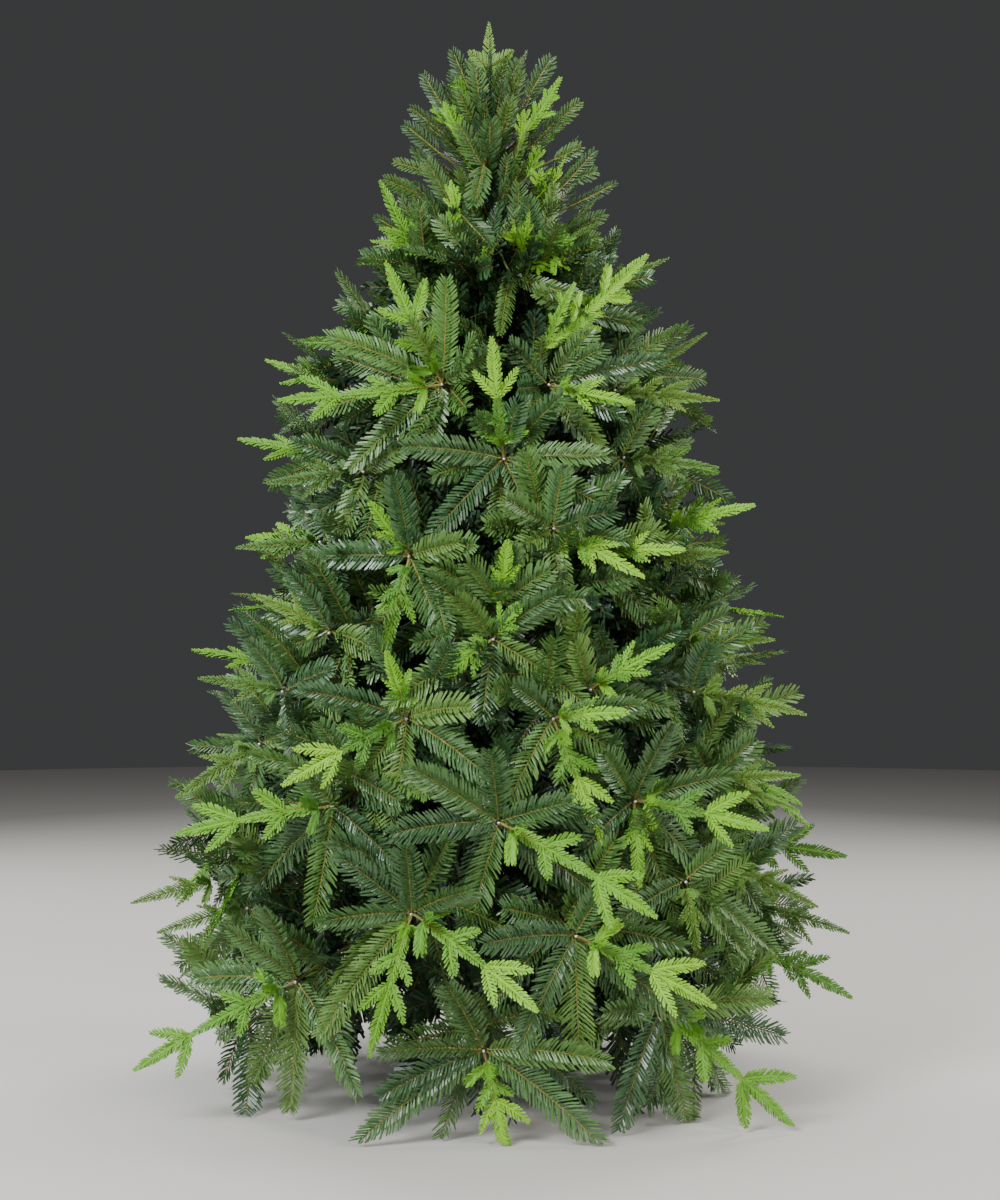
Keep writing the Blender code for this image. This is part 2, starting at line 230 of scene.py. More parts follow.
# %% Needle shades
FILM_GREENS = ("#486C34", "#507536", "#426536", "#547C34", "#3B5E36", "#5C8036", "#4A7038")
# The inner greens are far darker than the outer film's: painted shade for the inside of the crown.
INNER_SHADE_GREENS = ("#203A1E", "#264420", "#223E24", "#304E22")
BRIGHT_GREENS = ("#70A628", "#7BB12B", "#669C24", "#85B930")
MIDDLE_GREENS = ("#5B9027", "#669A29", "#538629")
DULL_GREENS = ("#547C34", "#5E8636", "#4C7232", "#648C36")
# Greens for the layer under a light finger's needles, darker as painted shade.
UNDER_SHADE_GREENS = ("#426C28", "#4A7628")
MOULDED_GREENS = BRIGHT_GREENS + MIDDLE_GREENS + DULL_GREENS + UNDER_SHADE_GREENS
BRIGHT, MIDDLE, DULL, DULL_END = np.cumsum([0, len(BRIGHT_GREENS), len(MIDDLE_GREENS), len(DULL_GREENS)])
FILM_GLOSS = (0.34, 0.43, 0.37, 0.46, 0.32, 0.45, 0.40)  # roughness of the outer film, shade by shade
FILM_LOOK = {"Roughness": 0.48, "IOR": 1.53}  # of the inner film and the top's
MOULD_LOOK = {"Roughness": 0.60, "IOR": 1.45}
film_needles = [
    finish_of(f"pvc_film_green_{i}", code, Roughness=gloss, IOR=FILM_LOOK["IOR"])
    for i, (code, gloss) in enumerate(zip(FILM_GREENS, FILM_GLOSS))
]
inner_shade_needles = [finish_of(f"pvc_film_inner_painted_shade_{i}", c, **FILM_LOOK) for i, c in enumerate(INNER_SHADE_GREENS)]
moulded = [finish_of(f"moulded_pe_green_{i}", c, **MOULD_LOOK) for i, c in enumerate(MOULDED_GREENS)]
twist_browns = [
    finish_of("wound_wire_gold_brown", "#867A30", Roughness=0.6),
    finish_of("wound_wire_brown", "#706628", Roughness=0.6),
    finish_of("wound_wire_olive", "#787432", Roughness=0.6),
]
# The top's greens are darker than the outer film's: painted shade over the top of the crown.
TOP_SHADE_GREENS = ("#3E602C", "#46682E", "#365628", "#4C702C", "#3A5A2A")
top_shade_film = [finish_of(f"pvc_film_top_painted_shade_{i}", c, **FILM_LOOK) for i, c in enumerate(TOP_SHADE_GREENS)]
peak_green = finish_of("moulded_pe_gold_green", "#6A9238", **MOULD_LOOK)
top_golds = [
    finish_of("wound_wire_gold", "#92802F", Roughness=0.6),
    finish_of("wound_wire_dark_gold", "#7F702A", Roughness=0.6),
]
print(len(FILM_GREENS), "film shades,", len(MOULDED_GREENS), "moulded shades")

# %% [markdown]
# ## The outline of the crown
# The tips of the boughs make a cone that is fuller low down. Its radius is
# kept as two short lists, for the left and the right, and the radius at any
# azimuth is a mix of both. Hubs stay a shoot's length inside it.

# %% Outline
OUTLINE_HEIGHTS = (0.00, 0.12, 0.30, 0.42, 0.60, 0.80, 1.00, 1.16, 1.36, 1.50, 1.63, 1.80, 1.94, 2.04)
LEFT_RADII = (0.58, 0.68, 0.67, 0.69, 0.61, 0.56, 0.46, 0.47, 0.42, 0.32, 0.24, 0.20, 0.15, 0.07)
RIGHT_RADII = (0.58, 0.62, 0.68, 0.65, 0.61, 0.60, 0.50, 0.46, 0.44, 0.34, 0.30, 0.22, 0.17, 0.08)


def outline(height, azimuth):
    """Radius of the tips: the left and right lists mixed by the cosine of the azimuth."""
    left = np.interp(height, OUTLINE_HEIGHTS, LEFT_RADII)
    right = np.interp(height, OUTLINE_HEIGHTS, RIGHT_RADII)
    share = 0.5 + 0.5 * np.cos(np.radians(azimuth))
    return left * (1 - share) + right * share


# %% [markdown]
# ## Where the boughs go
# The boughs hook into collars on the pole, so they come in rings. From the
# front a buyer sees about three dozen of them, and these are marked one by one
# in the camera's frame, 1000 wide and 1200 high. A mark is counted from the
# left and from the top. A row holds a bough's hub, the tips of its star's
# sprigs and the tips of its light shoots. All other boughs follow the rings,
# with a little chance.

# %% The marks of the front boughs
FRONT_MARKS = (
    ((500, 822), ((397, 817), (418, 760), (493, 737), (568, 797), (467, 935), (605, 893)), ((653, 898),)),
    ((406, 720), ((308, 682), (388, 830), (487, 765), (467, 697), (372, 760)), ((285, 777), (388, 650))),
    ((335, 808), ((235, 797), (308, 772), (318, 917), (398, 850), (255, 880)), ((180, 825),)),
    ((413, 915), ((348, 855), (325, 912), (328, 1018), (410, 835), (470, 880)), ((535, 985), (372, 1045))),
    ((573, 937), ((517, 1035), (680, 1012), (485, 925), (575, 1040), (600, 885)), ((712, 992),)),
    ((484, 1050), ((390, 1037), (388, 1080), (365, 1125), (600, 1038), (600, 1122), (450, 970)),
     ((510, 1163),)),
    ((297, 982), ((275, 897), (238, 925), (195, 975), (290, 1100), (252, 1075), (367, 1065)),
     ((135, 1053),)),
    ((634, 800), ((725, 770), (600, 740), (665, 718), (712, 873), (672, 907), (575, 840)),
     ((765, 818), (640, 880))),
    ((555, 718), ((510, 792), (528, 690), (612, 745), (640, 700)), ((602, 830), (627, 707))),
    ((495, 640), ((398, 690), (460, 592), (552, 590), (585, 692), (485, 710)), ((450, 672), (520, 605))),
    ((590, 690), ((660, 700), (575, 640)), ((670, 640),)),
    ((662, 1008), ((615, 1117), (692, 1128), (768, 993), (781, 1028), (610, 1000), (640, 940)),
     ((795, 1110),)),
    ((685, 882), ((778, 945), (620, 905), (730, 840), (745, 955)), ((700, 960),)),
    ((755, 950), ((700, 985), (768, 993), (790, 930)), ((848, 987),)),
    ((748, 905), ((800, 905), (700, 940), (720, 860)), ((845, 923),)),
    ((730, 865), ((773, 838), (760, 905), (700, 830)), ((813, 896),)),
    ((712, 782), ((735, 752), (745, 830), (690, 740)), ((796, 768), (796, 803))),
    ((690, 690), ((735, 745), (700, 640), (745, 720)), ((802, 705),)),
    ((680, 640), ((705, 620), (715, 660), (650, 600)), ((768, 632),)),
    ((655, 560), ((722, 590), (715, 560), (640, 510)), ((730, 552),)),
    ((622, 458), ((560, 455), (662, 535), (640, 420), (580, 500)), ((715, 467),)),
    ((612, 390), ((655, 328), (655, 400), (560, 380)), ((715, 402),)),
    ((580, 312), ((630, 315), (560, 360), (548, 300)), ((645, 262),)),
    ((285, 690), ((262, 640), (300, 745), (335, 660)), ((203, 672),)),
    ((330, 632), ((290, 615), (262, 650), (300, 570), (375, 640)), ((253, 590),)),
    ((262, 742), ((250, 790), (310, 720), (240, 700)), ((180, 788),)),
    ((218, 880), ((210, 845), (255, 935), (265, 850)), ((132, 893),)),
    ((250, 905), ((200, 970), (290, 940)), ((162, 922),)),
    ((443, 383), ((450, 283), (335, 320), (433, 430), (355, 452), (500, 350)), ((388, 272), (283, 406))),
    ((503, 458), ((405, 438), (432, 527), (603, 450), (603, 497), (515, 400), (540, 535)), ((492, 345),)),
    ((548, 388), ((598, 447), (655, 360), (510, 350), (590, 330)), ((630, 408),)),
    ((410, 555), ((325, 550), (400, 470), (455, 540), (440, 620)), ((372, 500), (384, 650))),
    ((553, 527), ((510, 500), (600, 510), (560, 470), (560, 615), (500, 560)), ((640, 572),)),
    ((600, 550), ((640, 530), (640, 600)), ((682, 545),)),
    ((365, 472), ((310, 437), (350, 520), (410, 440)), ((268, 483),)),
    ((322, 540), ((290, 575), (345, 590), (360, 505)), ((238, 543),)),
    ((500, 605), ((470, 560), (540, 570)), ((507, 540),)),
    ((350, 770), ((330, 720), (400, 790)), ()),
)
STARS, SHOOTS = 1, 2  # where a row holds them

# %% [markdown]
# A mark is a ray from the camera. The hubs lie on a surface round the pole
# whose radius r changes with height, so y is moved towards -sqrt(r^2 - x^2)
# until the ray meets that surface. A tip is as deep as its hub, so its step
# from the hub is its step in the frame times the size of a pixel there. Places
# are kept to whole degrees and centimetres.

# %% From marks to places
CAMERA_PLACE = (0.02, -4.6, 0.96)
FRAME_MIDDLE = (500, 600)
FOCAL_PIXELS = 2328.0  # pixels that a metre takes up one metre away
HUB_SURFACE = (
    (0.05, 0.17, 0.40, 0.56, 0.76, 0.90, 1.05, 1.23, 1.40, 1.60, 1.80, 2.00),
    (0.46, 0.50, 0.52, 0.50, 0.47, 0.42, 0.37, 0.31, 0.27, 0.18, 0.13, 0.06),
)
FIRST_DEPTH, EDGE_DEPTH = -0.4, -0.05  # where y starts, and where it goes for a mark beside the surface
ROUNDS, STEP_SHARE = 60, 0.4


def under_marks(marks, y):
    """Points x and z at depth y under marks: the camera's place plus the step from the middle."""
    size = (y - CAMERA_PLACE[1]) / FOCAL_PIXELS
    x = CAMERA_PLACE[0] + (marks[:, 0] - FRAME_MIDDLE[0]) * size
    return x, CAMERA_PLACE[2] - (marks[:, 1] - FRAME_MIDDLE[1]) * size


front_marks = np.array([row[0] for row in FRONT_MARKS], dtype=float)
y = np.full(len(front_marks), FIRST_DEPTH)
for _ in range(ROUNDS):
    x, z = under_marks(front_marks, y)
    r = np.interp(z, *HUB_SURFACE)
    beside = np.abs(x) >= 0.995 * r
    meets = np.where(beside, EDGE_DEPTH, -np.sqrt(np.maximum(r**2 - x**2, 0.0)))
    y = (1.0 - STEP_SHARE) * y + STEP_SHARE * meets
pixel_size = (y - CAMERA_PLACE[1]) / FOCAL_PIXELS
front_azimuth = np.round(np.degrees(np.arctan2(y, x)))
front_height = np.round(z, 2)
front_radius = np.round(np.hypot(x, y), 2)
print(f"{len(FRONT_MARKS)} boughs marked")

# %% [markdown]
# A ring below is a collar's boughs: the height of their hubs, how many there
# are, and the azimuth of the first. A ring bough whose hub would fall on one
# of the front boughs is left out, so the two sets share the pole.

# %% The rings
RINGS = (
    (0.17, 11, -92.0),
    (0.34, 12, -75.0),
    (0.50, 12, -91.0),
    (0.66, 12, -108.0),
    (0.81, 11, -84.0),
    (0.96, 11, -100.0),
    (1.10, 10, -86.0),
    (1.24, 9, -66.0),
    (1.37, 8, -95.0),
    (1.49, 7, -70.0),
    (1.60, 6, -100.0),
)
CLEAR_OF_FRONT = 0.13  # metres between a ring hub and a front hub
RING_REACH = (0.19, 0.155, 0.10)  # from a ring hub to the outline: low, middle and high
SET_BACK = 0.05  # a ring hub in front lies this much deeper
HEIGHT_CHANCE, AZIMUTH_CHANCE = 0.03, 5.0  # metres and degrees

ring_height = np.concatenate([np.full(count, height) for height, count, _ in RINGS])
ring_azimuth = np.concatenate([first + np.arange(count) * 360.0 / count for _, count, first in RINGS])
ring_height = ring_height + rng.uniform(-HEIGHT_CHANCE, HEIGHT_CHANCE, len(ring_height))
ring_azimuth = ring_azimuth + rng.uniform(-AZIMUTH_CHANCE, AZIMUTH_CHANCE, len(ring_azimuth))
in_front = np.sin(np.radians(ring_azimuth)) < -0.5
ring_radius = outline(ring_height, ring_azimuth) - by_height(ring_height, *RING_REACH)
ring_radius = ring_radius - SET_BACK * in_front

ring_hub = level(ring_azimuth) * ring_radius[:, None] + UP * ring_height[:, None]
front_hub = level(front_azimuth) * front_radius[:, None] + UP * front_height[:, None]
gap = np.linalg.norm(ring_hub[:, None] - front_hub[None], axis=-1).min(axis=1)
kept = gap > CLEAR_OF_FRONT
azimuth = np.concatenate([front_azimuth, ring_azimuth[kept]])
hub_height = np.concatenate([front_height, ring_height[kept]])
hub_radius = np.concatenate([front_radius, ring_radius[kept]])
boughs = len(azimuth)
marked = np.arange(boughs) < len(front_azimuth)
low_front = (ring_height < 0.30) & (np.sin(np.radians(ring_azimuth)) < 0.4)
without_shoot = np.concatenate([np.zeros(len(front_azimuth), dtype=bool), (in_front | low_front)[kept]])
print(f"{boughs} boughs, {kept.sum()} of them from {len(RINGS)} rings")

# %% [markdown]
# ## Bough arms
# A bough is a stiff steel wire wound in green film. Low ones leave the pole
# higher up and droop to their hub, high ones climb. A quadratic Bezier curve
# does both: it leaves the pole, aims at a knee, and arrives at the hub.

# %% Arm curves
POLE_RADIUS = 0.016
COLLARS = np.array([0.295, 0.36, 0.50, 0.64, 0.77, 0.88, 0.99, 1.09, 1.19, 1.28, 1.37, 1.46])
RISE = ((0.15, 0.5, 1.0, 1.5, 1.9), (-14, -4, 9, 30, 55))  # degrees over level, by height of the hub
KNEE_SHARE, KNEE_LIFT = 0.55, 0.12  # along the arm, and up against the hub's radius
rise = np.radians(np.interp(hub_height, *RISE))
wanted = hub_height - hub_radius * np.tan(rise * 0.75)
collar_height = COLLARS[np.abs(wanted[:, None] - COLLARS[None]).argmin(axis=1)]
out = level(azimuth)
hub = out * hub_radius[:, None] + UP * hub_height[:, None]
root = out * POLE_RADIUS + UP * collar_height[:, None]
knee = root + (hub - root) * KNEE_SHARE + UP * (KNEE_LIFT * hub_radius)[:, None]


def bezier(start, corner, end, share):
    """Points (1-s)^2 start + 2s(1-s) corner + s^2 end at the shares s of the way."""
    s = np.asarray(share, dtype=float)[..., None]
    return (1 - s) ** 2 * start + 2 * s * (1 - s) * corner + s**2 * end


def arm_axis(s):
    """Direction of the arms at a share s: 2(1-s)(knee - root) + 2s(hub - knee), made a unit."""
    return unit(2 * (1 - s) * (knee - root) + 2 * s * (hub - knee))


hub_axis = arm_axis(1.0)
print(f"{len(set(collar_height))} collars, arms {hub_radius.min():.2f} to {hub_radius.max():.2f} m")

# %% [markdown]
# ## What a sprig is
# A sprig is a short wire stem with needles in two flat rows, like a comb. One
# row of these arrays holds where it starts, where it points, which way its
# comb lies, how it bends, how long its stem and needles are, how flat its
# comb is, and which shade it is dealt.

# %% Sprig arrays
def sprig_set(base, along, side, bend, length, needle, flat, shade):
    """The arrays of a set of sprigs; a single number stands for the whole set."""
    n = len(base)
    spread = {"length": length, "needle": needle, "flat": flat}
    made = {key: np.broadcast_to(np.asarray(v, dtype=float), (n,)).copy() for key, v in spread.items()}
    made.update(base=base, along=along, side=side, bend=bend, shade=np.asarray(shade, dtype=int))
    return made


def joined(sets):
    """Several sets as one."""
    return {key: np.concatenate([s[key] for s in sets]) for key in sets[0]}


def chosen_of(sprigs, chosen):
    """The chosen rows of a set."""
    return {key: value[chosen] for key, value in sprigs.items()}


def stem_at(sprigs, share):
    """Points and directions of the stems at shares s: base + length s along + s^2 bend."""
    s = share[..., None]
    reach = sprigs["along"][:, None] * sprigs["length"][:, None, None]
    bend = sprigs["bend"][:, None]
    return sprigs["base"][:, None] + reach * s + bend * s**2, unit(reach + 2 * bend * s)


def part_of(sprigs, start, end):
    """The stems from share a to share b as sprigs: (b - a) (length along + 2 a bend), (b - a)^2 bend."""
    start, end = (np.broadcast_to(v, sprigs["length"].shape)[:, None] for v in (start, end))
    reach = (end - start) * (sprigs["along"] * sprigs["length"][:, None] + 2 * start * sprigs["bend"])
    part = dict(sprigs, base=stem_at(sprigs, start)[0][:, 0], bend=sprigs["bend"] * (end - start) ** 2)
    part.update(along=unit(reach), length=np.linalg.norm(reach, axis=-1))
    return part


# %% [markdown]
# ### Stars and whorls
# The star at a front hub lies nearly square to its bough, leaning a little
# outwards, so its combs face out of the crown. The same is true of the ring
# boughs, whose stars have even turns with a little chance. Further in, more
# sprigs fan round the bough with rounder brushes, and these fill the crown
# behind the stars; their darker greens are painted shade.

# %% Star sprigs from their marks
def seen_from_front(turn, axis, lean, least, most):
    """The screen direction plus t times the front, t chosen for a dot product of lean with the axis."""
    a = np.radians(turn)
    flat = np.stack([np.cos(a), np.zeros_like(a), np.sin(a)], axis=-1)
    t = (lean - dot(flat, axis)) / np.maximum(dot(FRONT, axis), 0.55)
    t = np.clip(t, least, most)
    way = flat + t * FRONT
    return unit(way), np.linalg.norm(way, axis=-1)


def from_marks(column, lean, least, most):
    """Bough numbers, directions and lengths of the tips that the front marks hold in a column."""
    rows = [(i, *tip) for i, row in enumerate(FRONT_MARKS) for tip in row[column]]
    number = np.array([row[0] for row in rows])
    step = (np.array([row[1:] for row in rows]) - front_marks[number]) * pixel_size[number][:, None]
    turn = np.round(np.degrees(np.arctan2(-step[:, 1], step[:, 0])))
    reach = np.round(np.hypot(step[:, 0], step[:, 1]) / CENTIMETRE)
    way, stretch = seen_from_front(turn, hub_axis[number], lean, least, most)
    return number, way, reach * CENTIMETRE * stretch


ROOT_GAP = 0.006  # a sprig starts this far from the middle of its hub
SHORTEST_SPRIG = 0.11
STAR_NEEDLE = (0.036, 0.032, 0.025)  # low, middle and high
film_count = len(film_needles)
inner_count = len(inner_shade_needles)
number, along, length = from_marks(STARS, lean=0.22, least=-0.7, most=0.6)
length = np.maximum(length, SHORTEST_SPRIG)
facing = unit(hub_axis[number] * 0.6 + FRONT * 0.6)
tilt = rng.normal(0.0, 0.22, (len(number), 3))
side = across(np.cross(facing, along) + tilt, along)
curl = rng.uniform(0.02, 0.12, len(number))[:, None]
sag = rng.uniform(0.02, 0.14, len(number))[:, None]
bend = (hub_axis[number] * curl - UP * sag) * length[:, None]
needle = by_height(hub_height[number], *STAR_NEEDLE)
shade = rng.integers(0, film_count, len(number))
front_star = sprig_set(hub[number] + along * ROOT_GAP, along, side, bend, length, needle, 0.95, shade)
print(f"{len(number)} star sprigs marked")


# %% Whorls by rule
def whorl(members, share, count, fan, length, needle, flat, shades):
    """Count sprigs round each member bough at a share of its way, tilted by fan degrees from it."""
    middle = bezier(root, knee, hub, share)[members]
    axis = arm_axis(share)[members]
    n = len(middle)
    rows = n * count
    side = across(np.cross(axis, UP), axis)
    step = 2 * np.pi / count
    turn = rng.uniform(0, 2 * np.pi, (n, 1)) + np.arange(count) * step
    turn = turn + rng.uniform(-0.25, 0.25, (n, count)) * step
    tilt = np.radians(fan[members][:, None] + rng.uniform(-13, 13, (n, count)))
    axis = np.repeat(axis, count, axis=0)
    along = fan_out(axis, np.repeat(side, count, axis=0), tilt.ravel(), turn.ravel())
    long = np.repeat(length[members], count) * rng.uniform(0.80, 1.12, rows)
    loose = rng.normal(0.0, 0.30, (rows, 3)) + np.abs(axis[:, :1]) * rng.normal(0.0, 0.6, (rows, 3))
    comb = across(np.cross(axis, along) + loose, along)
    curl = rng.uniform(0.02, 0.16, rows)[:, None]
    sag = rng.uniform(0.02, 0.14, rows)[:, None]
    bend = (axis * curl - UP * sag) * long[:, None]
    start = np.repeat(middle, count, axis=0) + along * ROOT_GAP
    shade = rng.integers(0, shades, rows)
    return sprig_set(start, along, comb, bend, long, np.repeat(needle[members], count), flat, shade)


def whorls(rows, shades):
    """A set for each row: boughs, share, count, fan, stem and needle against the usual, flatness."""
    return [
        whorl(which, share, count, fan * wider, sprig_length * longer, needle_length * larger, flat, shades)
        for which, share, count, wider, longer, larger, flat in rows
    ]


HIGH_HUBS, LOW_HUBS = 1.30, 0.40
fan = by_height(hub_height, 74, 64, 40)
sprig_length = by_height(hub_height, 0.200, 0.175, 0.120)
needle_length = by_height(hub_height, *STAR_NEEDLE)
everyone = np.arange(boughs)
front_ones, ruled = everyone[marked], everyone[~marked]
high, not_high = everyone[hub_height > HIGH_HUBS], everyone[hub_height <= HIGH_HUBS]
low = everyone[hub_height < LOW_HUBS]
STAR_WHORLS = (
    (ruled, 1.0, 6, 1.0, 1.0, 1.0, 0.9),
    (front_ones, 0.86, 5, 1.0, 0.95, 1.0, 0.8),
)
INNER_WHORLS = (
    (everyone, 0.70, 5, 0.95, 1.0, 1.0, 0.45),
    (not_high, 0.46, 4, 0.95, 1.0, 1.0, 0.3),
    (not_high, 0.22, 3, 0.95, 1.0, 1.0, 0.2),
    (low, 0.58, 4, 1.0, 1.0, 1.0, 0.3),
    (high, 0.40, 5, 1.0, 1.1, 1.15, 0.3),
    (high, 0.15, 3, 1.0, 1.0, 1.2, 0.2),
)
outer = joined([front_star] + whorls(STAR_WHORLS, film_count))
inner = joined(whorls(INNER_WHORLS, inner_count))
print(f"{len(outer['base'])} outer sprigs, {len(inner['base'])} inner sprigs")

# %% [markdown]
# ### The top
# The last half metre has no hooked boughs. Short wires grow straight from the
# pole and point up more steeply the higher they are, each with one slim
# brush. The tips are placed on the outline first, and each brush then runs
# back from its tip. A golden-angle turn from one to the next spreads them
# evenly, which is how a plant does it too.

# %% Top sprigs
GOLDEN_TURN = 137.508
TOP_STEEPNESS = ((1.45, 1.70, 1.90, 2.05), (18, 30, 45, 66))  # degrees over level, by height of the tip
TOP_LENGTH = ((1.45, 2.05), (0.150, 0.095))
# The ones seen from the front: marks of the tip and the root, forward at tip and root in centimetres,
# and half the width of the comb in millimetres.
TOP_MARKS = (
    (453, 52, 473, 100, 2, 1, 22),
    (424, 78, 447, 113, 3, 2, 20),
    (411, 108, 440, 132, 1, 0, 18),
    (405, 125, 440, 154, 3, 2, 20),
    (486, 70, 483, 102, 5, 2, 20),
    (518, 62, 507, 102, 5, 2, 22),
    (551, 61, 528, 98, 2, 1, 22),
    (579, 107, 543, 134, 2, 1, 20),
    (580, 150, 553, 161, 1, 0, 20),
    (594, 156, 560, 190, 3, 1, 18),
    (596, 175, 568, 180, 2, 1, 18),
    (616, 187, 566, 209, 2, 1, 14),
    (604, 219, 560, 237, 3, 2, 20),
    (599, 241, 556, 249, 5, 3, 22),
    (591, 272, 572, 268, 13, 6, 24),
    (490, 124, 489, 160, 13, 8, 26),
    (460, 128, 483, 168, 12, 8, 26),
    (474, 208, 484, 166, 13, 9, 28),
    (427, 163, 450, 203, 11, 8, 24),
    (490, 250, 449, 201, 12, 8, 28),
    (395, 163, 428, 173, 2, 1, 15),
    (385, 180, 422, 196, 3, 1, 20),
    (375, 218, 416, 241, 3, 2, 15),
    (402, 203, 421, 240, 7, 5, 18),
    (394, 254, 416, 280, 6, 4, 22),
    (376, 265, 400, 290, 4, 3, 18),
    (519, 186, 518, 238, 13, 9, 24),
    (525, 279, 529, 266, 20, 11, 28),
    (508, 158, 503, 195, 8, 5, 18),
    (470, 232, 462, 262, 10, 6, 24),
    (432, 205, 442, 240, 8, 5, 22),
)
# The same numbers for the light fingers among them.
TOP_LIGHT_MARKS = (
    (561, 83, 527, 132, 6, 4, 16),
    (523, 111, 520, 144, 9, 5, 14),
    (566, 158, 536, 215, 9, 6, 15),
    (541, 172, 540, 198, 9, 7, 12),
    (529, 215, 518, 268, 16, 11, 16),
    (511, 231, 520, 246, 14, 12, 12),
    (594, 253, 521, 268, 13, 11, 14),
    (546, 240, 536, 260, 13, 12, 13),
    (560, 269, 550, 252, 13, 12, 13),
    (543, 271, 533, 259, 14, 12, 13),
    (568, 236, 552, 252, 13, 12, 13),
    (451, 183, 458, 222, 11, 9, 15),
    (448, 213, 458, 243, 12, 9, 14),
    (424, 262, 446, 250, 8, 6, 14),
    (445, 102, 463, 144, 7, 4, 18),
    (454, 84, 470, 98, 4, 2, 12),
    (371, 248, 442, 246, 4, 3, 12),
    (539, 150, 527, 178, 6, 5, 16),
)
# Ones low down, in centimetres: tip across and up, root across and up, then as above.
LOW_TOPS = (
    (2.0, 145.0, 3.9, 158.0, 24, 18, 20),
    (18.0, 152.0, 4.5, 157.5, 20, 16, 20),
    (-5.7, 138.8, 1.5, 144.0, 27, 22, 20),
)
LOW_TOP_LIGHTS = (
    (28.9, 159.0, 10.6, 143.0, 20, 24, 16),
    (16.0, 155.5, 10.6, 143.5, 23, 24, 16),
    (21.0, 149.5, 12.0, 144.5, 23, 24, 15),
)
NEEDLE_SHARE = 0.108  # a needle reaches a little further than half the comb, which is in mm


def top_sprigs(marks, low):
    """Bases, directions, lengths and needle lengths from marked tips and roots and the low ones."""
    placed = np.array(marks, dtype=float)
    for end, forward in ((0, 4), (2, 5)):
        x, z = under_marks(placed[:, end : end + 2], -placed[:, forward] * CENTIMETRE)
        placed[:, end] = np.round(x / CENTIMETRE, 1)
        placed[:, end + 1] = np.round(z / CENTIMETRE, 1)
    rows = np.concatenate([placed, low]) * CENTIMETRE
    tip = np.stack([rows[:, 0], -rows[:, 4], rows[:, 1]], axis=-1)
    foot = np.stack([rows[:, 2], -rows[:, 5], rows[:, 3]], axis=-1)
    return foot, unit(tip - foot), np.linalg.norm(tip - foot, axis=-1), rows[:, 6] * NEEDLE_SHARE


FRONT_SHARE = ((-1.0, -0.4, 0.0, 0.4), (0.62, 0.78, 0.88, 1.0))  # reach towards the front, sides and back


def golden_tops(count, lowest, highest, depth, wide):
    """Tips near the outline at even steps of height and golden turns, and brushes run back from them."""
    share = (np.arange(count) + 0.5) / count
    height = lowest + (highest - lowest) * share**1.25
    turn = GOLDEN_TURN * np.arange(count) + rng.uniform(-14, 14, count)
    across_view = np.sin(np.radians(turn))
    radius = outline(height, turn) * depth * np.interp(across_view, *FRONT_SHARE)
    radius = radius * rng.uniform(0.92, 1.0, count)
    steep = np.radians(np.interp(height, *TOP_STEEPNESS)) + rng.uniform(-0.15, 0.15, count)
    tip = level(turn) * radius[:, None] + UP * height[:, None]
    along = unit(level(turn) * np.cos(steep)[:, None] + UP * np.sin(steep)[:, None])
    long = np.interp(height, *TOP_LENGTH) * rng.uniform(0.85, 1.1, count)
    return tip - along * long[:, None], along, long, np.full(count, wide)


def top_set(parts, facing, flat, shades):
    """Top sprigs from bases, directions, lengths and needle lengths, their combs turned to face a way."""
    base, along, length, needle = parts
    n = len(base)
    comb = across(np.cross(unit(facing), along) + rng.normal(0, 0.22, (n, 3)), along)
    bend = (UP * rng.uniform(-0.02, 0.10, n)[:, None]) * length[:, None]
    return sprig_set(base, along, comb, bend, length, needle, flat, rng.integers(0, shades, n))


def outwards(base, share):
    """A share of the level direction away from the pole, and a little up."""
    return unit(base * np.array([1.0, 1.0, 0.0])) * share + UP * 0.02


front_parts = top_sprigs(TOP_MARKS, LOW_TOPS)
ruled_parts = golden_tops(104, lowest=1.50, highest=2.04, depth=0.97, wide=0.026)
filling_parts = golden_tops(96, lowest=1.46, highest=1.97, depth=0.58, wide=0.030)
tops = joined(
    [
        top_set(front_parts, outwards(front_parts[0], 0.5) + FRONT, 0.9, len(top_shade_film)),
        top_set(ruled_parts, outwards(ruled_parts[0], 1.0), 0.9, len(top_shade_film)),
    ]
)
# The filling behind the top's brushes takes the dark inner greens: painted shade in the gaps between them.
top_filling = top_set(filling_parts, outwards(filling_parts[0], 1.0), 0.7, inner_count)
print(f"{len(tops['base'])} top sprigs and {len(top_filling['base'])} behind them")

# %% [markdown]
# ### Light shoots
# A light shoot is moulded in one piece and pushed on the end of the bough. It
# has a small cluster of three broad leaves by the crimp, then a pair of side
# fingers, and a long finger at the end that looks like a bird's foot with the
# last pair. Its plane faces outwards and up.

# %% Shoots
SHOOT_LENGTH = (0.235, 0.20, 0.13)  # low, middle and high
SHOOT_SAG = ((0.2, 1.0, 1.5), (0.10, 0.05, -0.06))  # against the length, by height of the hub
SHOOT_BEGIN = 0.07  # bare share of a shoot's stem
LEADER_NEEDLE = 0.0190
DULL_ASIDE, DULL_ABOVE, DULL_BELOW = 0.60, 0.30, 1.45  # where the front's boughs have duller shoots
MIDDLE_ASIDE = 0.50  # and low ones beyond this have shoots of the middle shade

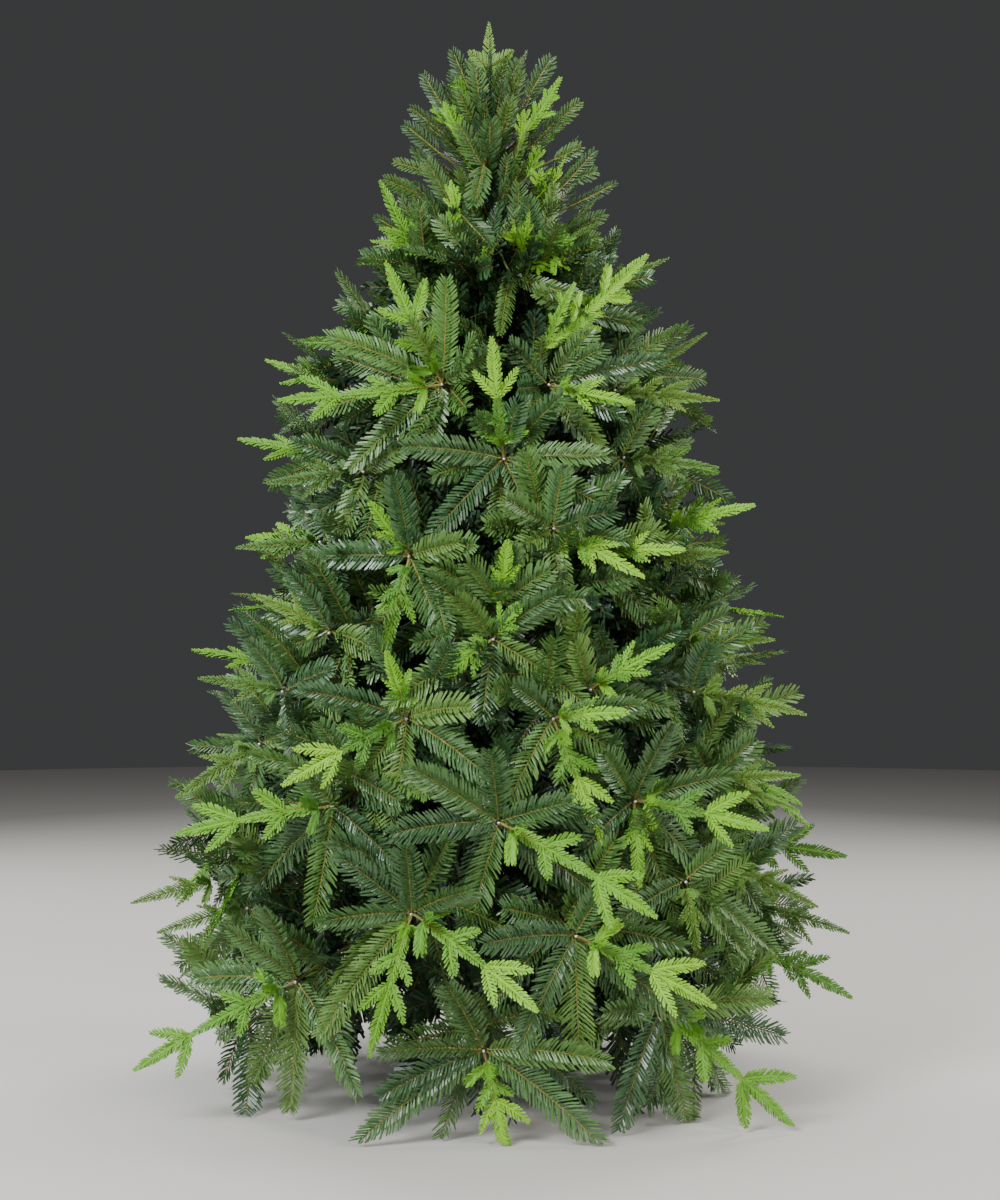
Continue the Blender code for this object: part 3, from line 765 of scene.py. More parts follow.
number, along, length = from_marks(SHOOTS, lean=0.45, least=0.0, most=0.5)
tipped = np.flatnonzero(~marked & ~without_shoot)
rule_bend = rng.normal(0.0, 0.30, (len(tipped), 3))
rule_length = by_height(hub_height[tipped], *SHOOT_LENGTH) * rng.uniform(0.85, 1.15, len(tipped))
number = np.concatenate([number, tipped])
along = np.concatenate([along, unit(hub_axis[tipped] + rule_bend)])
length = np.concatenate([length, rule_length])
facing_out = out[number] * 0.4 + UP * 0.45 + FRONT * 0.9
any_way = out[number] * 0.4 + UP * 0.5 + rng.normal(0.0, 0.7, (len(number), 3))
outward = unit(np.where(marked[number][:, None], facing_out, any_way))
side = across(np.cross(outward, along) + rng.normal(0, 0.15, (len(number), 3)), along)
sag = np.interp(hub_height[number], *SHOOT_SAG)
bend = -UP * (sag * length)[:, None]
shoots = len(number)
aside, height = np.abs(out[number, 0]), hub_height[number]
at_the_side = (aside > DULL_ASIDE) & (height > DULL_ABOVE) & (height < DULL_BELOW)
dull = np.where(marked[number], at_the_side, rng.random(shoots) < 0.5)
batch = np.where(dull, rng.integers(DULL, DULL_END, shoots), rng.integers(BRIGHT, MIDDLE, shoots))
low_side = (aside > MIDDLE_ASIDE) & (height < LOW_HUBS) & ~dull
batch = np.where(low_side, rng.integers(MIDDLE, DULL, shoots), batch)
low_batch = np.where(dull, batch, rng.integers(MIDDLE, DULL, shoots))
slim = np.where(dull, 0.92, 0.95)
leader = sprig_set(hub[number] + along * 0.004, along, side, bend, length, LEADER_NEEDLE * slim, 0.85, batch)


def fingers(parent, share, turns, fan, size, needle, flat, shade):
    """Side fingers at a share of every parent's way, one for each turn round it, in degrees."""
    n = len(parent["base"])
    s = np.broadcast_to(share, (n,))[:, None] + rng.uniform(-0.03, 0.03, (n, 1))
    base, axis = (part[:, 0] for part in stem_at(parent, s))
    plane = across(parent["side"], axis)
    sets = []
    for turn in turns:
        way = np.radians(turn + rng.uniform(-14, 14, n))
        tilt = np.radians(fan + rng.uniform(-8, 8, n))
        along = fan_out(axis, plane, tilt, way)
        growth = np.clip(parent["length"] / 0.22, 0.6, 1.15) * rng.uniform(0.85, 1.15, n)
        comb = across(np.cross(np.cross(axis, plane), along), along)
        bend = (axis * 0.14 - UP * 0.03) * (size * growth)[:, None]
        broad = needle * growth * parent["needle"] / LEADER_NEEDLE
        sets.append(sprig_set(base, along, comb, bend, size * growth, broad, flat, shade))
    return joined(sets)


FORK_TO_END = 0.118  # the long end finger
fork = np.clip(1.0 - FORK_TO_END / length, 0.32, 0.70)
lower_part = dict(part_of(leader, SHOOT_BEGIN, fork + 0.06), shade=low_batch)
end_part = part_of(leader, fork, 1.0)
last_pair = fingers(leader, fork, (0, 180), fan=44, size=0.066, needle=0.0158, flat=0.85, shade=batch)
side_pair = fingers(leader, 0.30, (8, 172), fan=52, size=0.050, needle=0.0165, flat=0.8, shade=low_batch)
leaf_batch = np.where(dull, batch, rng.integers(BRIGHT, DULL, shoots))
leaves = fingers(leader, 0.10, (-10, 190, 90), fan=70, size=0.040, needle=0.0165, flat=0.9, shade=leaf_batch)

# %% Light fingers of the top
front_lights = top_sprigs(TOP_LIGHT_MARKS, LOW_TOP_LIGHTS)
ruled_lights = golden_tops(10, lowest=1.56, highest=1.98, depth=0.93, wide=0.017)
top_fingers = joined(
    [
        top_set(front_lights, outwards(front_lights[0], 1.0) + FRONT * 0.4, 0.9, MIDDLE),
        top_set(ruled_lights, outwards(ruled_lights[0], 1.0), 0.9, MIDDLE),
    ]
)
top_fingers["needle"] *= 0.95
top_fingers["shade"] = rng.integers(BRIGHT, MIDDLE + 1, len(top_fingers["base"]))
top_lobes = joined(
    [
        fingers(top_fingers, place, (0, 180), 42, size, 0.0150, 0.9, top_fingers["shade"])
        for place, size in ((0.28, 0.050), (0.58, 0.042))
    ]
)
# The leader at the very top: one finger up, two to the sides.
PEAK_LENGTHS, PEAK_NEEDLE, PEAK_FORK = (0.115, 0.050, 0.054), 0.0180, 2.012
foot = np.array([[-0.002, 0.0, HEIGHT - PEAK_LENGTHS[0]], [-0.002, 0.0, PEAK_FORK], [0.002, 0.0, PEAK_FORK]])
way = unit(np.array([[0.0, 0.0, 1.0], [-0.78, -0.1, 0.56], [0.80, -0.1, 0.55]]))
comb = across(np.array([[1.0, 0, 0], [0.8, 0, 0.6], [0.8, 0, -0.6]]), way)
peak = sprig_set(foot, way, comb, np.zeros((3, 3)), np.array(PEAK_LENGTHS), PEAK_NEEDLE, 0.95, np.zeros(3))
print(f"{shoots} light shoots, {len(top_fingers['base'])} light fingers in the top")

# %% [markdown]
# ## Needles
# A needle is a flat strip with a few joints, most often with a blunt point, and
# it makes two to five triangles. Real needles are cut from film, so a strip
# with no thickness is close to the truth, and it keeps three hundred thousand
# needles affordable.
#
# For a needle at a share s of a stem with direction T, comb side L and normal
# M, a row angle gives the ray it leans towards, R = cos L + sin M. The needle
# points along G = cos(lean) T + sin(lean) R, and its flat way across lies in
# the same plane, turned a little by a twist.

# %% Needle arrays
FLOOR_SKIN = 0.022  # needles start to bend up at this height


def lie_on_floor(points):
    """Heights z under the skin k become k exp((z - k) / k), so low sprigs rest on the floor."""
    z = points[..., 2]
    low = FLOOR_SKIN * np.exp(np.minimum(z - FLOOR_SKIN, 0.0) / FLOOR_SKIN)
    points[..., 2] = np.where(z < FLOOR_SKIN, low, z)
    return points


CURVED = (0.0, 0.48, 0.90)
BENT = (0.0, 0.84)
PLAIN = (0.0, 1.0)


def needle_strips(sprigs, rows, joints, pitch, lean, width, begin, ends, curve, arch):
    """Points, triangles and shades of needles in rows along every sprig, one each pitch of its stem.

    With u from 0 at the root to 1 at the tip and a length n, the middle of a needle runs along
    foot + n (u G + curve u^2 T + 4 arch (u - u^2) N). Each joint is a pair of points at its u, and
    a last single point is the blunt tip unless the last joint is there already.
    """
    count = np.maximum(np.round(sprigs["length"] * (1.0 - begin) / pitch), 3).astype(int)
    member = np.repeat(np.arange(len(count)), count)
    place = np.arange(len(member)) - np.repeat(np.cumsum(count) - count, count)
    member, place = np.repeat(member, len(rows)), np.repeat(place, len(rows))
    row = np.tile(np.arange(len(rows)), count.sum())
    n = len(member)
    angle, size = np.array(rows).T
    step = (0.15 + 0.7 * (row * 0.37 % 1.0) + rng.uniform(-0.2, 0.2, n)) / count[member]
    t = np.clip(place / count[member] + step, 0.0, 1.0)
    own = chosen_of(sprigs, member)
    foot, axis = (part[:, 0] for part in stem_at(own, (begin + (1.0 - begin) * t)[:, None]))
    side = across(own["side"], axis)
    face = np.cross(axis, side)
    turn = np.radians(angle[row]) + rng.uniform(-1, 1, n) * (0.08 + 1.2 * (1.0 - own["flat"]))
    ray = np.cos(turn)[:, None] * side + np.sin(turn)[:, None] * face
    lift = -np.sin(turn)[:, None] * side + np.cos(turn)[:, None] * face
    lift = lift * np.sign(np.cos(turn))[:, None]
    tilt = (np.radians(lean) * (1.0 - 0.45 * t**4) + rng.uniform(-0.08, 0.08, n))[:, None]
    go = np.cos(tilt) * axis + np.sin(tilt) * ray
    middle = unit(go + curve * axis)
    twist = rng.normal(0.0, 0.20, (len(count), len(rows)))[member, row] + rng.normal(0.0, 0.14, n)
    broad = np.cos(twist)[:, None] * np.cross(lift, middle) + np.sin(twist)[:, None] * lift
    swell = ends[0] + (1 - ends[0]) * np.clip(t / 0.25, 0, 1) ** 0.8
    swell = swell * (1.0 - (1.0 - ends[1]) * np.clip((t - ends[2]) / (1.0 - ends[2]), 0, 1) ** 1.6)
    long = (own["needle"] * swell * size[row] * rng.uniform(0.9, 1.06, n))[:, None]
    forward = curve * rng.uniform(0.75, 1.25, (n, 1))
    rise = 4.0 * arch * rng.uniform(0.5, 1.5, (n, 1))
    half = 0.5 * width * (0.75 + 0.25 * long / sprigs["needle"].max())
    corners = []
    for u in joints + (1.0,) * (joints[-1] < 1.0):
        line = foot + long * (u * go + forward * u**2 * axis + rise * (u - u**2) * lift)
        reach = half * broad * (0.62 if u == 0.0 else 1.0)
        corners += [line] if u == 1.0 and joints[-1] < 1.0 else [line - reach, line + reach]
    triangles = []
    for i in range(0, 2 * len(joints) - 2, 2):
        triangles += [[i, i + 1, i + 3], [i, i + 3, i + 2]]
    if joints[-1] < 1.0:
        triangles.append([2 * len(joints) - 2, 2 * len(joints) - 1, 2 * len(joints)])
    points = lie_on_floor(np.stack(corners, axis=1).reshape(-1, 3))
    first = np.arange(n, dtype=np.int64)[:, None, None] * len(corners)
    faces = (first + np.array(triangles)[None]).reshape(-1, 3)
    return points, faces, np.repeat(own["shade"], len(triangles))


# %% [markdown]
# Needles come in layers. The main layer of a star sprig is two flat rows whose
# needles leave the stem nearly square and curve towards its end, with a gap
# from one to the next. A shorter layer lies under it and another stands up
# beside the stem, so the comb is open at its rim and closed in its middle. A
# light finger has a layer under its own in a darker green, which is painted shade.

# %% Needle pieces
PIECE_LIMIT = 185000  # triangles in one mesh
# A layer is its rows, each an angle round the stem and a size, and the joints of its needles.
STAR_LAYERS = (
    (((8, 1.0), (172, 1.0)), CURVED),
    (((-14, 0.70), (194, 0.70), (46, 0.56), (134, 0.56)), BENT),
)
BRUSH_LAYERS = ((((0, 1.0), (180, 1.0), (60, 0.85), (120, 0.85), (-70, 0.8)), PLAIN),)
DULL_LAYERS = (
    (((8, 1.0), (172, 1.0)), CURVED),
    (((-20, 0.8), (200, 0.8), (50, 0.75), (130, 0.75), (90, 0.5)), BENT),
)
FINGER_LAYERS = (
    (((4, 1.0), (176, 1.0)), CURVED),
    (((34, 0.70), (146, 0.70)), BENT),
)
UNDER_LAYERS = ((((-22, 0.88), (202, 0.88)), BENT),)
PEAK_LAYERS = ((((4, 1.0), (176, 1.0), (90, 0.7), (-90, 0.7)), CURVED),)
LEAF_LAYERS = ((((4, 1.0), (176, 1.0), (30, 0.9), (150, 0.9)), BENT),)


def needle_pieces(label, sprigs, materials, layers, **look):
    """Needle meshes of fewer than PIECE_LIMIT triangles each, cut by height."""
    order = np.argsort(sprigs["base"][:, 2])
    stations = sprigs["length"].sum() * (1.0 - look["begin"]) / look["pitch"]
    each = sum(len(rows) * (2 * len(joints) - 2 + (joints[-1] < 1.0)) for rows, joints in layers)
    pieces = math.ceil(stations * each * 1.02 / PIECE_LIMIT)
    made = []
    for count, members in enumerate(np.array_split(order, pieces), 1):
        grown = [needle_strips(chosen_of(sprigs, members), rows, joints, **look) for rows, joints in layers]
        points, faces = stacked([part[:2] for part in grown])
        shade = np.concatenate([part[2] for part in grown])
        made.append(mesh_piece(f"{label}_{count}", "needles", points, faces, materials, shade))
    return made


every_part = joined([lower_part, end_part, last_pair, side_pair, top_fingers])
is_dull = every_part["shade"] >= DULL
bright_parts, dull_parts = chosen_of(every_part, ~is_dull), chosen_of(every_part, is_dull)
in_shade = dict(bright_parts, shade=DULL_END + bright_parts["shade"] % len(UNDER_SHADE_GREENS))
broad_leaves = joined([leaves, top_lobes])

# What a needle piece is made of: pitch, lean, width, begin, ends, curve and arch.
LOOK = ("pitch", "lean", "width", "begin", "ends", "curve", "arch")
STAR_LOOK = (0.0066, 68, 0.0035, 0.02, (0.6, 0.5, 0.68), 0.30, 0.06)
BRUSH_LOOK = (0.0122, 52, 0.0062, 0.04, (0.7, 0.5, 0.68), 0.1, 0.0)
TOP_LOOK = (62, 0.0033, 0.02, (0.8, 0.40, 0.60), 0.28, 0.05)  # the filling has a wider pitch
FINGER_LOOK = (0.0060, 50, 0.0035, 0.0, (0.80, 0.25, 0.45), 0.20, 0.05)
DULL_LOOK = (0.0056, 54, 0.0030, 0.0, (0.95, 0.20, 0.15), 0.25, 0.05)
PEAK_LOOK = (0.0050, 52, 0.0028, 0.0, (1.0, 0.10, 0.25), 0.25, 0.05)
LEAF_LOOK = (0.0046, 42, 0.0036, 0.0, (0.55, 0.60, 0.70), 0.22, 0.08)
NEEDLE_PIECES = (
    ("star_needles", outer, film_needles, STAR_LAYERS, STAR_LOOK),
    ("inner_shade_needles", inner, inner_shade_needles, BRUSH_LAYERS, BRUSH_LOOK),
    ("top_needles", tops, top_shade_film, STAR_LAYERS, (0.0062,) + TOP_LOOK),
    ("top_inner_needles", top_filling, inner_shade_needles, STAR_LAYERS, (0.0075,) + TOP_LOOK),
    ("shoot_needles", bright_parts, moulded, FINGER_LAYERS, FINGER_LOOK),
    ("under_needles", in_shade, moulded, UNDER_LAYERS, FINGER_LOOK),
    ("dull_needles", dull_parts, moulded, DULL_LAYERS, DULL_LOOK),
    ("peak_needles", peak, [peak_green], PEAK_LAYERS, PEAK_LOOK),
    ("leaf_needles", broad_leaves, moulded, LEAF_LAYERS, LEAF_LOOK),
)
pieces = []
for label, sprigs, materials, layers, look in NEEDLE_PIECES:
    pieces += needle_pieces(label, sprigs, materials, layers, **dict(zip(LOOK, look)))

# %% Brushes by the pole
# Three more close to the pole on each bough of the waist, where a gap would go right through.
WAIST = (0.45, 1.42)
waist = np.flatnonzero((hub_height > WAIST[0]) & (hub_height < WAIST[1]))
# They take the dark inner greens: painted shade where the gap would be.
by_the_pole = joined(whorls([(waist, 0.12, 3, 1.0, 0.9, 1.1, 0.2)], inner_count))
needle_pieces("pole_needles", by_the_pole, inner_shade_needles, BRUSH_LAYERS, **dict(zip(LOOK, BRUSH_LOOK)))

# %% [markdown]
# ## Stems
# Each sprig's needles are wound into two twisted wires that show as a golden
# brown line. A tube carried along the stem does that: rings of points round a
# path, in a frame that is made from the path's own direction.

# %% Tubes along paths
def tubes(paths, radii, sides, twist=None, lying=None):
    """Tubes on paths (n, s, 3) with radii (n, s) or (n, s, sides), twisted by an angle a point."""
    n, steps, _ = paths.shape
    axis = unit(np.gradient(paths, axis=1))
    helper = np.where(np.abs(axis[:, :1, 2:3]) > 0.85, np.array([1.0, 0.0, 0.0]), UP)
    side = across(np.cross(axis, helper) if lying is None else lying[:, None], axis)
    face = np.cross(axis, side)
    turn = np.arange(sides) * 2 * np.pi / sides
    turn = turn[None, None] + (0.0 if twist is None else twist[..., None])
    ring = np.cos(turn)[..., None] * side[:, :, None] + np.sin(turn)[..., None] * face[:, :, None]
    radii = radii if radii.ndim == 3 else radii[..., None]
    points = paths[:, :, None] + ring * radii[..., None]
    i = np.arange(sides)
    j = (i + 1) % sides
    quad = np.stack([i, j, j + sides, i + sides], axis=-1)
    one = (quad[None] + np.arange(steps - 1)[:, None, None] * sides).reshape(-1, 4)
    faces = (one[None] + np.arange(n)[:, None, None] * steps * sides).reshape(-1, 4)
    return points.reshape(-1, 3), faces


def stem_piece(name, sprigs, materials, thick, thin, steps, sides, end=0.94):
    """The stems of a set as one mesh: radii from thick to thin, and a square wire turned as it goes."""
    n = len(sprigs["base"])
    share = np.broadcast_to(np.linspace(0.0, end, steps), (n, steps))
    paths, _ = stem_at(sprigs, share)
    radii = np.broadcast_to(np.linspace(thick, thin, steps), share.shape)
    twist = np.broadcast_to(np.arange(steps) * 0.9, share.shape)
    points, faces = tubes(paths, radii, sides, twist)
    shade = np.repeat(sprigs["shade"] % len(materials), (steps - 1) * sides)
    return mesh_piece(name, "needles", lie_on_floor(points), faces, materials, shade)


# Radii at the root and at the end, steps along, sides round, and where a short one ends.
STEM_PIECES = (
    ("star_stems", outer, twist_browns, 0.0019, 0.0012, 10, 4),
    ("inner_stems", joined([inner, by_the_pole]), twist_browns, 0.0015, 0.0009, 4, 3),
    ("top_stems", tops, top_golds, 0.0018, 0.0012, 8, 4),
    ("top_inner_stems", top_filling, top_golds, 0.0016, 0.0010, 5, 4),
    ("shoot_stems", chosen_of(leader, ~dull), twist_browns[:2], 0.0028, 0.0014, 8, 6, 0.5),
    ("dull_stems", dull_parts, twist_browns[:2], 0.0021, 0.0009, 6, 4),
    ("peak_stems", peak, top_golds, 0.0016, 0.0007, 6, 4),
)
for row in STEM_PIECES:
    stem_piece(*row)

# %% [markdown]
# The needles of a moulded shoot share a flat green core, thicker than a wire
# and half as thick as it is broad, which is where the plastic flows along the
# mould. An ellipse with half axes a and b has the radius
# a b / sqrt((b cos v)^2 + (a sin v)^2) at an angle v from its broad side.

# %% Cores of the shoots
CORE_SWELL = np.interp(np.linspace(0.0, 1.0, 8), (0.0, 0.25, 0.75, 1.0), (0.55, 1.0, 0.8, 0.12))


def core_piece(name, sprigs, materials, share, swell, flatness, smooth, sides=6):
    """Flat cores along the sprigs, a share of their combs broad, in the plane of the combs."""
    t = np.linspace(0.0, 1.0, len(swell))
    paths, _ = stem_at(sprigs, np.broadcast_to(0.98 * t, (len(sprigs["base"]), len(swell))))
    v = np.arange(sides) * 2 * np.pi / sides
    a = share * sprigs["needle"][:, None, None] * swell[None, :, None]
    b = flatness * a
    radii = a * b / np.sqrt((b * np.cos(v)) ** 2 + (a * np.sin(v)) ** 2)
    points, faces = tubes(paths, radii, sides, lying=sprigs["side"])
    shade = np.repeat(sprigs["shade"], (len(swell) - 1) * sides)
    return mesh_piece(name, "needles", lie_on_floor(points), faces, materials, shade, smooth=smooth)


core_piece("shoot_cores", bright_parts, moulded, share=0.20, swell=CORE_SWELL, flatness=0.45, smooth=True)

# %% [markdown]
# The broad leaves by the crimp, and the lobes in the top, are short needles
# moulded side by side, so a thin web joins them nearly to their points. The
# web is the same ellipse, very flat and broadest at two thirds of its length,
# with a rim that goes in and out.

# %% Leaf webs
LEAF_TEETH = 6
LEAF_OUTLINE = ((0.0, 0.15, 0.45, 0.70, 0.90, 1.0), (0.16, 0.50, 0.88, 1.0, 0.78, 0.10))
leaf_share = np.linspace(0.0, 1.0, 2 * LEAF_TEETH + 2)
rim = np.where(np.arange(len(leaf_share)) % 2 == 0, 1.10, 0.80)
swell = np.interp(leaf_share, *LEAF_OUTLINE) * rim
core_piece("leaf_webs", broad_leaves, moulded, share=0.50, swell=swell, flatness=0.09, smooth=False, sides=4)

# %% [markdown]
# ## Wound boughs
# A bough's film is wound round the wire in a close spiral, so its outside has
# a fine screw thread. The tube's radius swells and shrinks with a wave that
# runs round and along it.

# %% Bough wires
bough_film = weathered(
    finish_of("wound_bough_film", "#4A5C26", Roughness=0.5, IOR=1.53),
    scale=60.0, colours=("#3C4E22", "#6A6A2C"), rough=(0.42, 0.62), bump=900.0, depth=0.0003,
)
ARM_STEPS, ARM_SIDES = 32, 6
WINDING_TURNS, WINDING_DEPTH = 8.0, 0.16
ARM_THICK, ARM_TAPER = 0.0046, 0.0020
share = np.linspace(0.0, 1.0, ARM_STEPS)
paths = bezier(root[:, None], knee[:, None], hub[:, None], share)
turn = np.arange(ARM_SIDES) * 2 * np.pi / ARM_SIDES
wave = np.cos(turn[None] + 2 * np.pi * WINDING_TURNS * share[:, None])
thick = (ARM_THICK - ARM_TAPER * share)[:, None] * (1.0 + WINDING_DEPTH * wave)
points, faces = tubes(paths, np.broadcast_to(thick, (boughs, ARM_STEPS, ARM_SIDES)), ARM_SIDES)
arms = mesh_piece("bough_wires", "bough_wire", points, faces, [bough_film], smooth=True)

# %% Wires of the top sprigs
TOP_WIRE_RADIUS, TOP_WIRE_STEPS, LOWEST_TOP_ROOT = 0.0022, 8, 1.40
wired = joined([tops, top_filling, top_fingers])
top_root = wired["base"] * np.array([0.0, 0.0, 1.0])
fall = np.linalg.norm(wired["base"][:, :2], axis=-1)
top_root[:, 2] = np.maximum(top_root[:, 2] - fall * wired["along"][:, 2] * 0.8, LOWEST_TOP_ROOT)
middle = 0.5 * (top_root + wired["base"]) - UP * (0.12 * fall)[:, None]
share = np.linspace(0.0, 1.0, TOP_WIRE_STEPS)
paths = bezier(top_root[:, None], middle[:, None], wired["base"][:, None], share)
points, faces = tubes(paths, np.full(paths.shape[:2], TOP_WIRE_RADIUS), ARM_SIDES)
mesh_piece("top_wires", "bough_wire", points, faces, [bough_film], smooth=True)

# %% [markdown]
# ## Crimps
# Where the star and the shoot are gripped together, a little bright metal
# bead closes the twist. A sphere is a short tube as well: at an angle v from
# its top the path is at r cos v and the radius is r sin v.

# %% Crimp beads
CRIMP_RADIUS, CRIMP_AHEAD = 0.0033, 0.004
crimp_metal = finish_of("tumbled_aluminium", "#CDCFD1", Roughness=0.32, Metallic=0.75)
v = np.linspace(np.pi - 0.02, 0.02, 6)
paths = (hub + hub_axis * CRIMP_AHEAD)[:, None] + UP * (CRIMP_RADIUS * np.cos(v))[:, None]
points, faces = tubes(paths, np.broadcast_to(CRIMP_RADIUS * np.sin(v), paths.shape[:2]), sides=8)
mesh_piece("hub_crimps", "bough_wire", points, faces, [crimp_metal], smooth=True)

# %% [markdown]
# ## The pole
# The pole comes in tubes that plug into each other, with a collar for each
# ring of boughs. It is a lathe shape: a profile of radii and heights carried
# round the axis. A skin over a row of closed rings makes it, and makes the
# stand's parts as well.

# %% Skin over rings
def skin(rings):
    """Triangles between closed rings (m, n, 3) that turn to the left round their way, and end caps."""
    m, n, _ = rings.shape
    points = np.concatenate([rings.reshape(-1, 3), rings[:1].mean(axis=1), rings[-1:].mean(axis=1)])
    i = np.arange(n)
    j = (i + 1) % n
    k = np.arange(m - 1)[:, None] * n
    walls = np.stack([k + i, k + j, k + n + j, k + i, k + n + j, k + n + i], axis=-1).reshape(-1, 3)
    start = np.stack([np.full(n, m * n), j, i], axis=-1)
    end = np.stack([np.full(n, m * n + 1), (m - 1) * n + i, (m - 1) * n + j], axis=-1)
    return points, np.concatenate([walls, start, end])


def lathe(profile, sides):
    """Rings of a profile of (radius, height) pairs, bottom to top on its outer side."""
    profile = np.asarray(profile, dtype=float)
    ring = level(np.arange(sides) * 360.0 / sides)
    return profile[:, 0][:, None, None] * ring[None] + UP * profile[:, 1][:, None, None]


# %% Pole and collars
powder_coat = weathered(
    finish_of("green_powder_coat", "#1F3A26", Roughness=0.5),
    scale=90.0, colours=("#1C3622", "#28462C"), rough=(0.40, 0.58), bump=1400.0, depth=0.0002,
)
POLE_PROFILE = (
    (0.0150, 0.0370), (0.0160, 0.0380), (0.0160, 0.9780), (0.0154, 0.9800), (0.0140, 0.9805),
    (0.0140, 1.4985), (0.0135, 1.5000), (0.0105, 1.5005), (0.0105, 1.7590), (0.0100, 1.7600),
    (0.0065, 1.7605), (0.0030, 2.0390), (0.0022, 2.0400),
)
COLLAR_HALF, COLLAR_BORE = 0.012, 0.013
COLLAR = (
    (-0.012, 0.0240), (-0.010, 0.0260), (-0.004, 0.0260), (-0.002, 0.0245),
    (0.002, 0.0245), (0.004, 0.0260), (0.010, 0.0260), (0.012, 0.0240),
)
parts = [skin(lathe(POLE_PROFILE, sides=32))]
for height in sorted(set(collar_height)):
    rim = [(radius, height + step) for step, radius in COLLAR]
    below, above = (COLLAR_BORE, height - COLLAR_HALF), (COLLAR_BORE, height + COLLAR_HALF)
    parts.append(skin(lathe([below] + rim + [above], sides=36)))
pole = mesh_piece("pole_and_collars", "pole_paint", *stacked(parts), [powder_coat])
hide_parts("trunk")

# %% [markdown]
# ## The stand
# Low boughs hide the stand, so it is a plain one: a welded steel socket with a
# flange, four bent tubes, a rubber block on each end and two thumb screws
# that grip the pole. The tube's corners are cut again and again, which turns
# them into bends, and the tube is thicker where it is welded on.

# %% Socket
stand_coat = weathered(
    finish_of("stand_powder_coat", "#1A3020", Roughness=0.45),
    scale=70.0, colours=("#182C1E", "#243C28"), rough=(0.36, 0.56), bump=1200.0, depth=0.0002,
)
SOCKET_PROFILE = (
    (0.0185, 0.0300), (0.0205, 0.0306), (0.0215, 0.0325), (0.0215, 0.1460), (0.0225, 0.1490),
    (0.0245, 0.1500), (0.0290, 0.1500), (0.0300, 0.1510), (0.0300, 0.1790), (0.0290, 0.1800),
    (0.0245, 0.1800), (0.0225, 0.1810), (0.0215, 0.1840), (0.0215, 0.2485), (0.0205, 0.2500),
    (0.0176, 0.2500), (0.0166, 0.2490), (0.0166, 0.0360),
)
socket = mesh_piece("stand_cup", "stand_paint", *skin(lathe(SOCKET_PROFILE, sides=48)), [stand_coat])
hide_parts("stand_socket")


# %% Legs
def corners_cut(path, rounds):
    """Every corner of a path cut at a quarter of its sides, some rounds over; the ends stay."""
    for _ in range(rounds):
        near, far = 0.75 * path[:-1] + 0.25 * path[1:], 0.25 * path[:-1] + 0.75 * path[1:]
        cut = np.stack([near, far], axis=1).reshape(-1, path.shape[1])
        path = np.concatenate([path[:1], cut, path[-1:]])
    return path


LEG_PATH = (
    (0.0285, 0.165), (0.0340, 0.165), (0.0423, 0.165), (0.0563, 0.159), (0.1740, 0.0245),
    (0.1940, 0.0135), (0.2400, 0.0135),
)
LEG_RADIUS, WELD_RADIUS = 0.009, 0.0112
WELD_LENGTH, WELD_END = 0.0025, 0.0055
LEG_TURNS = 45.0 + 90.0 * np.arange(1, 5)
run = corners_cut(np.array(LEG_PATH), rounds=3)
paths = level(LEG_TURNS)[:, None] * run[None, :, :1] + UP * run[None, :, 1:]
from_root = np.linalg.norm(run - run[0], axis=-1)
radii = np.interp(from_root, (0.0, WELD_LENGTH, WELD_END), (WELD_RADIUS, WELD_RADIUS, LEG_RADIUS))
points, faces = tubes(paths, np.broadcast_to(radii, paths.shape[:2]), sides=20)
legs = mesh_piece("stand_legs", "stand_paint", points, faces, [stand_coat], smooth=True)
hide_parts(*[f"stand_leg_{i}" for i in range(1, 5)])

# %% [markdown]
# A rubber foot is a block with round edges. Its cross section is a superellipse,
# |y/w|^6 + |z/h|^6 = 1, which is flat below and still has soft corners, and it
# has three grooves round it where the rubber flexes.

# %% Feet
foot_rubber = weathered(
    finish_of("moulded_black_rubber", "#1B1B1B", Roughness=0.8),
    scale=120.0, colours=("#161616", "#262625"), rough=(0.70, 0.90), bump=900.0, depth=0.0003,
)
FOOT_START, FOOT_END, FOOT_HALF_WIDTH, FOOT_HALF_HEIGHT = 0.200, 0.250, 0.016, 0.0135
SQUARE, END_SQUARE = 6, 10  # powers of the cross section and of the ends
GROOVES, GROOVE_DEPTH = 3, 0.045
FOOT_RINGS, FOOT_SIDES = 41, 40
u = np.linspace(0.0, 1.0, FOOT_RINGS)
v = np.arange(FOOT_SIDES) * 2 * np.pi / FOOT_SIDES
groove = (np.abs(np.sin(GROOVES * np.pi * u)) > 0.96) * (u > 0.1) * (u < 0.9)
swell = (1.0 - np.abs(2 * u - 1) ** END_SQUARE) ** (1 / END_SQUARE)
swell = np.maximum(swell, 0.70) - GROOVE_DEPTH * groove
wide = np.sign(np.cos(v)) * np.abs(np.cos(v)) ** (2 / SQUARE) * FOOT_HALF_WIDTH
tall = np.sign(np.sin(v)) * np.abs(np.sin(v)) ** (2 / SQUARE) * FOOT_HALF_HEIGHT
parts = []
for turn in LEG_TURNS:
    ahead, left = level(turn), level(turn + 90.0)
    rings = ahead * (FOOT_START + (FOOT_END - FOOT_START) * u)[:, None, None]
    rings = rings + left * (swell[:, None] * wide)[..., None]
    parts.append(skin(rings + UP * (FOOT_HALF_HEIGHT + swell[:, None] * tall)[..., None]))
feet = mesh_piece("rubber_feet", "foot_rubber", *stacked(parts), [foot_rubber], smooth=True)
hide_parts(*[f"stand_foot_{i}" for i in range(1, 5)])

# %% [markdown]
# A thumb screw has a coarse thread, r = r0 + d cos(v - 2 pi x / pitch), and a
# knob whose rim has eight shallow lobes for the fingers.

